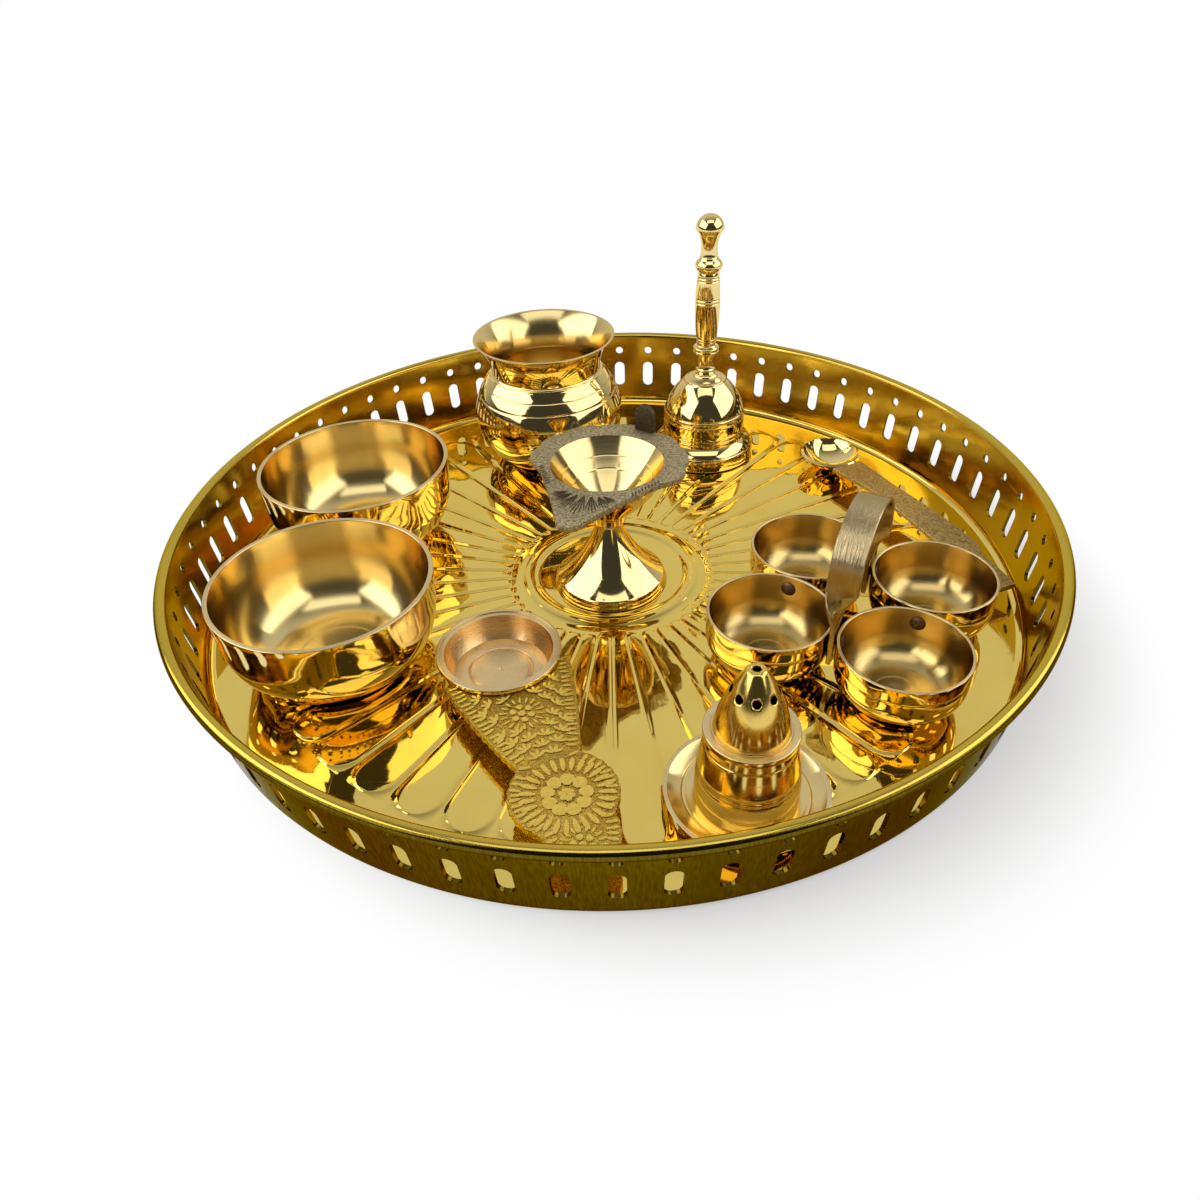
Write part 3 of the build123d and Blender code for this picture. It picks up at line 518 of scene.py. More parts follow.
class Profile:
    """Outline of a turned piece, drawn from point to point as (radius, height) in millimetres."""

    def __init__(self, radius: float, height: float, finish: Brass) -> None:
        """Start the outline.

        Args:
            radius: The first point's radius.
            height: The first point's height.
            finish: The finish of the first run.
        """
        self.points: list[Vector] = [Vector((radius, height))]
        self.rounds: dict[int, float] = {}
        self.paints: list[tuple[int, Brass]] = [(0, finish)]

    def line(self, radius: float, height: float, *grooves: Groove, steps: int = 1) -> "Profile":
        """Straight run to a point, with any rings on it."""
        return self.bow(radius, height, 0.0, *grooves, steps=steps)

    def bow(
        self, radius: float, height: float, rise: float, *grooves: Groove, steps: int = 16
    ) -> "Profile":
        """Bowed run to a point.

        Args:
            radius: The end's radius.
            height: The end's height.
            rise: How far the run bows to the left of its chord, or to the right where negative.
            grooves: Rings on the run.
            steps: How many straight pieces it is made of.

        Returns:
            The profile itself.
        """
        start = self.points[-1].copy()
        chord = Vector((radius, height)) - start
        left = Vector((-chord.y, chord.x)).normalized()
        shares = {step / steps for step in range(1, steps + 1)}
        for groove in grooves:
            reach = groove.half_width / chord.length
            shares |= {groove.share + reach * edge for edge in RING_STEPS}
        for share in sorted(shares):
            lift = 4 * rise * share * (1 - share)
            lift += sum(ring.offset((share - ring.share) * chord.length) for ring in grooves)
            self.points.append(start + share * chord + lift * left)
        return self

    def quarter(
        self, centre: Pair, half: Pair, start: float, sweep: float, steps: int = 20
    ) -> "Profile":
        """Part of an ellipse from where the outline is.

        Args:
            centre: The ellipse's middle.
            half: Its half width and half height.
            start: The angle that it starts at, in degrees.
            sweep: How far it goes, in degrees.
            steps: How many straight pieces it is made of.

        Returns:
            The profile itself.
        """
        for step in range(1, steps + 1):
            angle = math.radians(start + sweep * step / steps)
            reach = Vector((half[0] * math.cos(angle), half[1] * math.sin(angle)))
            self.points.append(Vector(centre) + reach)
        return self

    def soften(self, rounding: float) -> "Profile":
        """Round the corner where the outline is."""
        self.rounds[len(self.points) - 1] = rounding
        return self

    def paint(self, finish: Brass) -> "Profile":
        """Change the finish from where the outline is."""
        self.paints.append((len(self.points) - 1, finish))
        return self

    def chain(self) -> list[tuple[Vector, Brass]]:
        """The finished outline.

        Returns:
            Each point with the finish of the run that starts there.
        """
        done: list[tuple[Vector, Brass]] = []
        finish = self.paints[0][1]
        changes = dict(self.paints)
        for index, point in enumerate(self.points):
            before = finish
            finish = changes.get(index, finish)
            rounding = self.rounds.get(index)
            if rounding is None:
                done.append((point, finish))
                continue
            back = self.points[index - 1] - point
            ahead = self.points[index + 1] - point
            reach = min(rounding, BEND_LIMIT * back.length, BEND_LIMIT * ahead.length)
            first = point + reach * back.normalized()
            last = point + reach * ahead.normalized()
            for share in BEND_STEPS:
                bend = first.lerp(point, share).lerp(point.lerp(last, share), share)
                done.append((bend, before if share < 0.5 else finish))
        return done


class Shaper:
    """Mesh work that the pieces share, in millimetres."""

    @staticmethod
    def lathe(profile: Profile, place: Vector, steps: int) -> tuple[Mesh, list[Brass]]:
        """Turn an outline about an upright axis.

        Args:
            profile: The outline.
            place: Where its foot's middle stands.
            steps: How many sides the turned piece has.

        Returns:
            The mesh, and the finishes that its faces count through.
        """
        shape = bmesh.new()
        along = shape.verts.layers.float.new("along")
        around = shape.verts.layers.float_vector.new("around")
        paint = shape.verts.layers.int.new("paint")
        chain = profile.chain()
        finishes = list(dict.fromkeys(finish for _, finish in chain))
        length = 0.0
        verts: list[Vert] = []
        for index, (point, finish) in enumerate(chain):
            length += (point - chain[max(index - 1, 0)][0]).length
            vert = shape.verts.new((point.x, 0, point.y))
            vert[along] = length
            vert[paint] = finishes.index(finish)
            verts.append(vert)
        edges = [shape.edges.new(ends) for ends in zip(verts, verts[1:])]
        Shaper.revolve(shape, verts + edges, steps)
        for face in shape.faces:
            face.material_index = min(face.verts, key=lambda vert: vert[along])[paint]
        bmesh.ops.remove_doubles(shape, verts=shape.verts, dist=MERGE)
        bmesh.ops.recalc_face_normals(shape, faces=shape.faces)
        for vert in shape.verts:
            vert[around] = UP.cross(vert.co).normalized() if vert.co.xy.length > MERGE else SIDEWAYS
        bmesh.ops.translate(shape, vec=place, verts=shape.verts)
        return shape, finishes

    @staticmethod
    def revolve(shape: Mesh, section: Sequence[object], steps: int) -> None:
        """Turn a section's vertices and edges once round the upright axis."""
        bmesh.ops.spin(
            shape,
            geom=section,
            cent=(0, 0, 0),
            axis=UP,
            angle=FULL_TURN,
            steps=steps,
            use_merge=True,
        )

    @staticmethod
    def ring(shape: Mesh, points: Sequence[Vector]) -> list[Edge]:
        """Lay a closed loop of edges through points.

        Args:
            shape: The mesh to add to.
            points: The loop's points in order.

        Returns:
            The loop's edges.
        """
        made = bmesh.ops.create_circle(shape, segments=len(points), radius=1.0)
        for vert, point in zip(made["verts"], points):
            vert.co = point
        return list({edge for vert in made["verts"] for edge in vert.link_edges})

    @staticmethod
    def skin(shape: Mesh, sections: Sequence[Sequence[Vector]], closed: bool = False) -> None:
        """Stretch a skin over a row of loops.

        Args:
            shape: The mesh to add to.
            sections: The loops, all with the same number of points.
            closed: Whether the ends are filled.
        """
        rings = [Shaper.ring(shape, section) for section in sections]
        for near, far in zip(rings, rings[1:]):
            bmesh.ops.bridge_loops(shape, edges=near + far)
        if closed:
            for end in (rings[0], rings[-1]):
                bmesh.ops.edgeloop_fill(shape, edges=end)

    @staticmethod
    def lay_strokes(shape: Mesh, reach: Callable[[Vector], Pair]) -> None:
        """Note how far along and across the brush strokes each vertex lies.

        Args:
            shape: The mesh.
            reach: How far along and across a point is.
        """
        layers = [shape.verts.layers.float.new(name) for name in ("along", "across")]
        for vert in shape.verts:
            for layer, distance in zip(layers, reach(vert.co)):
                vert[layer] = distance

    @staticmethod
    def plate(
        shape: Mesh, loops: Sequence[Sequence[Vector]], thickness: float, edge: float
    ) -> None:
        """Cut a flat plate to an outline, with any holes, and ease its edges.

        Args:
            shape: The mesh to add to.
            loops: The outline and the holes, at the plate's top.
            thickness: How thick the plate is below them.
            edge: How far its edges are eased.
        """
        lines = [line for loop in loops for line in Shaper.ring(shape, loop)]
        filled = bmesh.ops.triangle_fill(shape, use_beauty=True, use_dissolve=False, edges=lines)
        faces = [item for item in filled["geom"] if isinstance(item, Face)]
        grown = bmesh.ops.extrude_face_region(shape, geom=faces, use_keep_orig=True)
        lower = [item for item in grown["geom"] if isinstance(item, Vert)]
        bmesh.ops.translate(shape, vec=(0, 0, -thickness), verts=lower)
        bmesh.ops.recalc_face_normals(shape, faces=shape.faces)
        inner = [line for line in shape.edges if line.is_manifold]
        bmesh.ops.bevel(
            shape,
            geom=[line for line in inner if line.calc_face_angle() > CORNER],
            offset=edge,
            offset_type="OFFSET",
            segments=2,
            profile=0.5,
            affect="EDGES",
            material=-1,
        )


@dataclass(frozen=True)
class Leaf:
    """One small leaf, petal or bar of relief, in millimetres."""

    length: float
    width: float
    height: float
    widest: float
    inset: float = 0.17
    shoulder: float = 0.6
    peak: float = 0.4

    def lay(self, shape: Mesh, root: Vector, turn: float) -> None:
        """Raise the leaf on a mesh.

        Args:
            shape: The mesh to add to.
            root: Where the leaf's inner end is, at the level that it rises from.
            turn: The direction that it points in, in degrees.
        """
        verts = bmesh.ops.create_circle(shape, cap_ends=True, segments=10, radius=1.0)["verts"]
        for vert in verts:
            share = (vert.co.x + 1) / 2
            vert.co.x = self.length * share ** (math.log(self.widest) / math.log(0.5))
            vert.co.y *= self.width / 2
        faces = list({face for vert in verts for face in vert.link_faces})
        edge = bmesh.ops.inset_region(
            shape, faces=faces, thickness=self.width * self.inset, depth=0.0, use_even_offset=True
        )["faces"]
        crown = list({vert for face in faces for vert in face.verts})
        bmesh.ops.translate(shape, vec=(0, 0, self.height * self.shoulder), verts=crown)
        top = bmesh.ops.poke(shape, faces=faces)["verts"]
        bmesh.ops.translate(shape, vec=(0, 0, self.height * self.peak), verts=top)
        every = {*verts, *crown, *top, *(vert for face in edge for vert in face.verts)}
        bmesh.ops.transform(shape, matrix=stand(root, turn), verts=list(every))


class Bench:
    """Turns finished meshes into pieces of the object."""

    @staticmethod
    def turn(
        profile: Profile, place: Vector, name: str, body: str, node: str, steps: int = 144
    ) -> None:
        """Turn an outline into a piece that stands for a CAD node.

        Args:
            profile: The outline.
            place: Where its foot's middle stands.
            name: The piece's name.
            body: The CAD body that it rides on.
            node: The CAD node.
            steps: How many sides the turned piece has.
        """
        shape, finishes = Shaper.lathe(profile, place, steps)
        Bench.settle(shape, name, body, finishes, [node])

    @staticmethod
    def settle(
        shape: Mesh,
        name: str,
        body: str,
        finishes: Sequence[Brass],
        nodes: Iterable[str] = (),
    ) -> None:
        """Make a piece in metres that rides on a body.

        Args:
            shape: The finished mesh in millimetres, in the frame's axes.
            name: The piece's name.
            body: The CAD body that it rides on.
            finishes: The finishes that its faces count through.
            nodes: The CAD nodes that it stands for.
        """
        bmesh.ops.scale(shape, vec=(MM, MM, MM), verts=shape.verts)
        mesh = bpy.data.meshes.new(name)
        shape.to_mesh(mesh)
        shape.free()
        mesh.shade_smooth()
        mesh.set_sharp_from_angle(angle=CREASE)
        for finish in finishes:
            mesh.materials.append(finish.material())
        piece = bpy.data.objects.new(name, mesh)
        bpy.context.scene.collection.objects.link(piece)
        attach(piece, body)
        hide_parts(*nodes)
        LOG.info("%s rides on %s, %d faces", name, body, len(mesh.polygons))

    @staticmethod
    def coat(node: str, finish: Brass) -> None:
        """Give a CAD node that keeps its own shape a finish.

        Args:
            node: The CAD node.
            finish: The finish.
        """
        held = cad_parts[node]
        held.data.materials.clear()
        held.data.materials.append(finish.material())
        LOG.info("%s keeps its solid, in %s", node, finish.name)


@dataclass
class Tray:
    """The pressed tray: petal floor, pierced wall and rolled rim, in millimetres."""

    body: str = "tray"
    sheet: float = 1.2
    foot_radius: float = 146.0
    corner: float = 4.0
    rim_radius: float = 152.5
    height: float = 34.0
    bead: float = 2.0
    bead_margin: float = 0.1
    bead_sides: int = 288
    gallery_count: int = 67
    gallery_first: float = -91.4
    slot_size: Pair = (4.8, 11.5)
    slot_level: float = 15.0
    hole_radius: float = 1.7
    hole_level: float = 26.3
    slot_border: float = 0.6
    hole_border: float = 0.4
    cell_levels: Triple = (7.0, 23.2, 29.4)
    plain_levels: Pair = (5.5, 30.7)
    ring_radius: float = 30.0
    ring_width: float = 6.0
    ring_height: float = 1.0
    ring_border: float = 1.0
    petal_count: int = 46
    petal_first: float = -87.8
    petal_reach: Pair = (37.0, 127.0)
    petal_height: float = 0.36
    petal_crown: float = 0.12
    crown_width: float = 7.0
    petal_bevel: float = 0.55
    petal_spacing: float = 0.5
    plain_reach: Pair = (35.5, 131.0)
    meeting_radius: float = 134.0

    def build(self) -> None:
        """Press the sheet, pierce it and roll its rim."""
        floor = bmesh.new()
        self._petals(floor)
        self._middle(floor)
        self._face_up(floor)
        pressed = bpy.data.meshes.new("thali_floor")
        floor.to_mesh(pressed)
        floor.free()
        shape = bmesh.new()
        self._gallery(shape)
        self._face_up(shape)
        shape.from_mesh(pressed)
        bpy.data.meshes.remove(pressed)
        wall_edge = self._open_ring(shape, self.meeting_radius)
        floor_edge = self._open_ring(shape, self.plain_reach[1])
        bmesh.ops.bridge_loops(shape, edges=floor_edge + wall_edge)
        upper = set(shape.faces)
        bmesh.ops.solidify(shape, geom=list(shape.faces), thickness=self.sheet)
        for face in shape.faces:
            # Outer faces near the wall take the dark outside brass, and the inner wall above the
            # corner the darker wall brass: painted shade on copies of the one sheet's brass.
            middle = face.calc_center_median()
            if middle.xy.length > self.foot_radius - self.corner:
                outer = face not in upper
                face.material_index = 1 if outer else 2 * int(middle.z > self.corner)
        self._bead(shape)
        finishes = [TRAY_POLISH, TRAY_OUTSIDE_PAINTED_SHADE, TRAY_WALL_PAINTED_SHADE]
        Bench.settle(shape, "thali_sheet", self.body, finishes, ["thali_tray"])

    @staticmethod
    def _face_up(shape: Mesh) -> None:
        """Turn an open sheet's normals so that its lowest faces look up.

        Args:
            shape: The sheet's mesh.
        """
        bmesh.ops.recalc_face_normals(shape, faces=shape.faces)
        lowest = min(shape.faces, key=lambda face: face.calc_center_median().z)
        if lowest.normal.z < 0:
            bmesh.ops.reverse_faces(shape, faces=shape.faces)

    @staticmethod
    def _open_ring(shape: Mesh, radius: float) -> list[Edge]:
        """Open edges that lie at a radius.

        Args:
            shape: The tray's mesh.
            radius: The ring's radius.

        Returns:
            The edges with one face there.
        """
        return [
            edge
            for edge in shape.edges
            if edge.is_boundary
            and all(abs(vert.co.xy.length - radius) < RING_TOLERANCE for vert in edge.verts)
        ]

    def _petals(self, shape: Mesh) -> None:
        """Press one petal's sector of the floor and repeat it round the middle.

        Args:
            shape: The tray's mesh.
        """
        half_pitch = math.pi / self.petal_count
        sine = math.sin(half_pitch)
        inner, outer = self.petal_reach
        inner_end = (inner * sine - self.petal_spacing / 2) / (1 - sine)
        outer_end = (outer * sine - self.petal_spacing / 2) / (1 + sine)
        inner_centre = inner + inner_end
        outer_centre = outer - outer_end
        radii = [self.plain_reach[0]]
        radii += [inner_centre - inner_end * math.cos(math.radians(step * 15)) for step in range(7)]
        runs = 22
        length = outer_centre - inner_centre
        radii += [inner_centre + length * step / runs for step in range(1, runs)]
        turns = [math.radians(step * 7.5) for step in range(13)]
        radii += [outer_centre + outer_end * math.sin(turn) for turn in turns]
        radii += [self.plain_reach[1]]
        shares = (0.0, 0.45, 0.8, 1.0)
        across = 2 * (len(shares) + 1)

        def half_width(radius: float, inset: float) -> float:
            """Half of a petal's width at a radius, inside its outline by an inset.

            Args:
                radius: The radius.
                inset: How far inside the outline.

            Returns:
                Half of the width.
            """
            if radius < inner_centre:
                return math.sqrt(max(0.0, (inner_end - inset) ** 2 - (inner_centre - radius) ** 2))
            if radius > outer_centre:
                return math.sqrt(max(0.0, (outer_end - inset) ** 2 - (radius - outer_centre) ** 2))
            return max(0.0, radius * sine - self.petal_spacing / 2 - inset)

        def level(radius: float, offset: float) -> float:
            """Height of the pressed sheet at a radius and an offset from the petal's middle.

            Args:
                radius: The radius.
                offset: How far from the petal's middle.

            Returns:
                The height.
            """
            if radius < inner_centre:
                depth = inner_end - math.hypot(inner_centre - radius, offset)
            elif radius > outer_centre:
                depth = outer_end - math.hypot(radius - outer_centre, offset)
            else:
                depth = half_width(radius, 0.0) - offset
            ramp = min(1.0, max(0.0, depth / self.petal_bevel))
            ramp = ramp * ramp * (3 - 2 * ramp)
            crown = min(1.0, max(0.0, depth) / self.crown_width)
            return self.sheet + self.petal_height * ramp + self.petal_crown * crown

        made = bmesh.ops.create_grid(shape, x_segments=len(radii) - 1, y_segments=across, size=1.0)
        for vert in made["verts"]:
            radius = radii[round((vert.co.x + 1) / 2 * (len(radii) - 1))]
            column = round((vert.co.y + 1) / 2 * across) - across // 2
            bevel_top = half_width(radius, self.petal_bevel)
            offsets = [bevel_top * share for share in shares]
            offsets.insert(len(shares), half_width(radius, 0.0))
            edge = radius * math.tan(half_pitch)
            offsets[-1] = max(offsets[-1], bevel_top)
            place = edge if abs(column) == across // 2 else offsets[abs(column)]
            height = level(radius, place) if abs(column) < across // 2 else self.sheet
            angle = math.copysign(min(half_pitch, math.asin(min(1.0, place / radius))), column)
            vert.co = on_floor(radius, math.degrees(angle) + self.petal_first, height)
        self._repeat(shape, made["verts"], self.petal_count)

    @staticmethod
    def _repeat(shape: Mesh, verts: Sequence[Vert], count: int) -> None:
        """Repeat a sector round the tray's middle and close the seams.

        Args:
            shape: The tray's mesh.
            verts: The sector's vertices.
            count: How many sectors fill the circle.
        """
        edges = list({edge for vert in verts for edge in vert.link_edges})
        faces = list({face for vert in verts for face in vert.link_faces})
        bmesh.ops.spin(
            shape,
            geom=list(verts) + edges + faces,
            cent=(0, 0, 0),
            axis=UP,
            angle=FULL_TURN * (count - 1) / count,
            steps=count - 1,
            use_duplicate=True,
        )
        bmesh.ops.remove_doubles(shape, verts=shape.verts, dist=MERGE)

    def _middle(self, shape: Mesh) -> None:
        """Carry the petals' inner edge in over the ring and close the middle.

        Args:
            shape: The tray's mesh.
        """
        half = self.ring_width / 2
        steps = 8
        places = [(self.ring_radius + half, self.sheet)]
        for step in range(1, steps):
            share = 1 - 2 * step / steps
            rise = self.ring_height * (1 - share * share)
            places.append((self.ring_radius + half * share, self.sheet + rise))
        places.append((self.ring_radius - half, self.sheet))
        places.append((self.ring_radius - half - self.ring_border, self.sheet))
        edges = self._carry(shape, self._open_ring(shape, self.plain_reach[0]), places)
        bmesh.ops.edgeloop_fill(shape, edges=edges)

    @staticmethod
    def _carry(shape: Mesh, edges: list[Edge], path: Iterable[Pair]) -> list[Edge]:
        """Carry open edges on from ring to ring.

        Args:
            shape: The tray's mesh.
            edges: The edges to start from.
            path: Radius and level of each ring.

        Returns:
            The last ring's edges.
        """
        for radius, level in path:
            grown = bmesh.ops.extrude_edge_only(shape, edges=edges)["geom"]
            moved = {item for item in grown if isinstance(item, Vert)}
            for vert in moved:
                vert.co = (*(vert.co.xy.normalized() * radius), level)
            lines = [item for item in grown if isinstance(item, Edge)]
            edges = [line for line in lines if moved.issuperset(line.verts)]
        return edges

    def _inner_radius(self, level: float) -> float:
        """Radius of the wall's inner skin at a level.

        Args:
            level: The level.

        Returns:
            The radius.
        """
        foot = self.foot_radius - self.sheet
        top = self.rim_radius - 2 * self.bead
        share = (level - self.corner) / (self.height - self.bead - self.corner)
        return foot + (top - foot) * share

    def _cell_loop(self, place: Place, count: int = 32) -> list[Vector]:
        """Loop of a cell on the wall.

        Args:
            place: Swing and level for each point of a unit circle.
            count: How many points the loop has.

        Returns:
            The loop's points.
        """
        points = []
        for step in range(count):
            angle = FULL_TURN * step / count
            swing, level = place(math.cos(angle), math.sin(angle))
            points.append(on_floor(self._inner_radius(level), swing + self.gallery_first, level))
        return points

    def _cell_edge(self, low: float, high: float) -> Place:
        """Places on the edge of a cell between two levels.

        Args:
            low: The cell's lower level.
            high: Its upper level.

        Returns:
            The place for each point of a unit circle.
        """

        def place(across: float, up: float) -> Pair:
            """Place on the square round the circle.

            Args:
                across: How far across the circle.
                up: How far up it.

            Returns:
                Swing in degrees, and level.
            """
            reach = max(abs(across), abs(up))
            wide, tall = across / reach, up / reach
            swing = wide * (180 / self.gallery_count)
            return swing, (low + high) / 2 + tall * (high - low) / 2

        return place

    def _opening(self, half: float, straight: float, middle: float) -> Place:
        """Places round a slot, or round a hole where its sides have no straight part.

        Args:
            half: Half of the opening's width.
            straight: Half of the length of its straight sides.
            middle: The level of its middle.

        Returns:
            The place for each point of a unit circle.
        """

        def place(across: float, up: float) -> Pair:
            """Place on the opening's edge."""
            level = middle + math.copysign(straight, up) * (abs(up) > NOUGHT) + up * half
            return math.degrees(across * half / self._inner_radius(level)), level

        return place

    def _gallery(self, shape: Mesh) -> None:
        """Pierce one cell of the wall, carry it to the floor and the rim, and repeat it.

        Args:
            shape: The tray's mesh.
        """
        wide, tall = self.slot_size
        straight = (tall - wide) / 2
        bottom, middle, top = self.cell_levels
        openings = (
            (wide / 2, self.slot_border, straight, self.slot_level, (bottom, middle)),
            (self.hole_radius, self.hole_border, 0.0, self.hole_level, (middle, top)),
        )
        for half, border, side, level, cell in openings:
            places = [self._opening(reach, side, level) for reach in (half, half + border)]
            places.append(self._cell_edge(*cell))
            Shaper.skin(shape, [self._cell_loop(place) for place in places])
        bmesh.ops.remove_doubles(shape, verts=shape.verts, dist=MERGE)
        corner_radius = self.foot_radius - self.corner
        bend = self.corner - self.sheet
        below, above = self.plain_levels
        down = [(self._inner_radius(level), level) for level in (below, self.corner)]
        for step in range(1, 7):
            angle = math.radians(15 * step)
            drop = bend * math.sin(angle)
            down.append((corner_radius + bend * math.cos(angle), self.corner - drop))
        down.append((self.meeting_radius, self.sheet))
        up = [(self._inner_radius(level), level) for level in (above, self.height - self.bead)]
        for level, path in ((bottom, down), (top, up)):
            edges = [
                edge
                for edge in shape.edges
                if all(abs(vert.co.z - level) < MERGE for vert in edge.verts)
            ]
            self._carry(shape, edges, path)
        self._repeat(shape, shape.verts[:], self.gallery_count)

    def _bead(self, shape: Mesh) -> None:
        """Roll the rim's bead.

        Args:
            shape: The tray's mesh.
        """
        section = bmesh.ops.create_circle(
            shape,
            segments=20,
            radius=self.bead,
            matrix=Matrix.Translation((self.rim_radius - self.bead, 0, self.height - self.bead))
            @ Matrix.Rotation(math.pi / 2, 4, "X"),
        )["verts"]
        edges = list({edge for vert in section for edge in vert.link_edges})
        Shaper.revolve(shape, section + edges, self.bead_sides)
        low = self.height - 2 * self.bead - self.bead_margin
        near = self.rim_radius - 2 * self.bead - self.bead_margin
        rolled = [
            face
            for face in shape.faces
            if face.calc_center_median().z > low
            and min(vert.co.xy.length for vert in face.verts) > near
        ]
        bmesh.ops.recalc_face_normals(shape, faces=rolled)
        # Outward-facing bead faces take the dark outside brass and the rest the darker wall brass:
        # painted shade by the way each face turns.
        for face in rolled:
            outward = face.normal.xy.dot(face.calc_center_median().xy.normalized())
            face.material_index = 1 if outward > 0.25 and face.normal.z < 0.75 else 2


@dataclass
class Bowl:
    """A plain turned bowl with a flat base, in millimetres."""

    name: str
    body: str
    place: Vector
    radius: float
    height: float
    base: float
    shoulder: float
    flare: float
    wall: float
    inner: Brass
    rings: tuple[Groove, ...] = ()

    def build(self) -> None:
        """Turn the bowl."""
        foot = self.radius - self.flare
        inside = foot - self.wall
        profile = Profile(0, 0, VESSEL_POLISH).line(self.base, 0)
        profile.quarter((self.base, self.shoulder), (foot - self.base, self.shoulder), 270, 90)
        profile.line(self.radius, self.height, *self.rings, steps=4).soften(0.35).paint(RIM_CUT)
        profile.line(self.radius - self.wall, self.height).soften(0.35).paint(self.inner)
        profile.line(inside, self.shoulder, steps=4)
        hollow = (inside - self.base, self.shoulder - self.wall)
        profile.quarter((self.base, self.shoulder), hollow, 0, -90)
        profile.line(0, self.wall, Groove(0.3, 0.05, 0.4), steps=3)
        Bench.turn(profile, self.place, f"{self.name}_bowl", self.body, self.name)


@dataclass
class Kalash:
    """The water pot, in millimetres."""

    body: str = "kalash"
    place: Vector = vector_field(-22.93, 94.05, 2.1)
    height: float = 55.0
    rim: float = 29.8
    neck: Pair = (23.2, 41.0)
    belly: Pair = (31.8, 25.0)
    base: float = 19.0
    wall: float = 1.5
    lip: float = 1.2
    bows: Triple = (4.5, 1.2, 1.6)

    def build(self) -> None:
        """Turn the pot."""
        belly_bow, shoulder_bow, flare_bow = self.bows
        lines = (Groove(0.38, 0.09, 0.3), Groove(0.66, 0.09, 0.3), Groove(0.93, -0.15, 0.6))
        profile = Profile(0, 0, VESSEL_POLISH).line(self.base, 0).soften(0.8)
        profile.bow(*self.belly, -belly_bow, steps=26).soften(0.9)
        profile.bow(*self.neck, -shoulder_bow, *lines, steps=16).soften(0.8)
        profile.bow(self.rim, self.height, flare_bow, Groove(0.9, 0.06, 0.3), steps=18)
        profile.soften(0.3).paint(RIM_CUT)
        profile.line(self.rim - self.lip, self.height).soften(0.3).paint(VESSEL_TURNED)
        profile.bow(self.neck[0] - self.wall, self.neck[1], -flare_bow, steps=18).soften(0.8)
        profile.bow(self.belly[0] - self.wall, self.belly[1], shoulder_bow, steps=16).soften(0.8)
        profile.bow(self.base - self.wall, self.wall, belly_bow, steps=26).soften(0.8)
        profile.line(0, self.wall)
        Bench.turn(profile, self.place, "kalash_pot", self.body, "kalash")


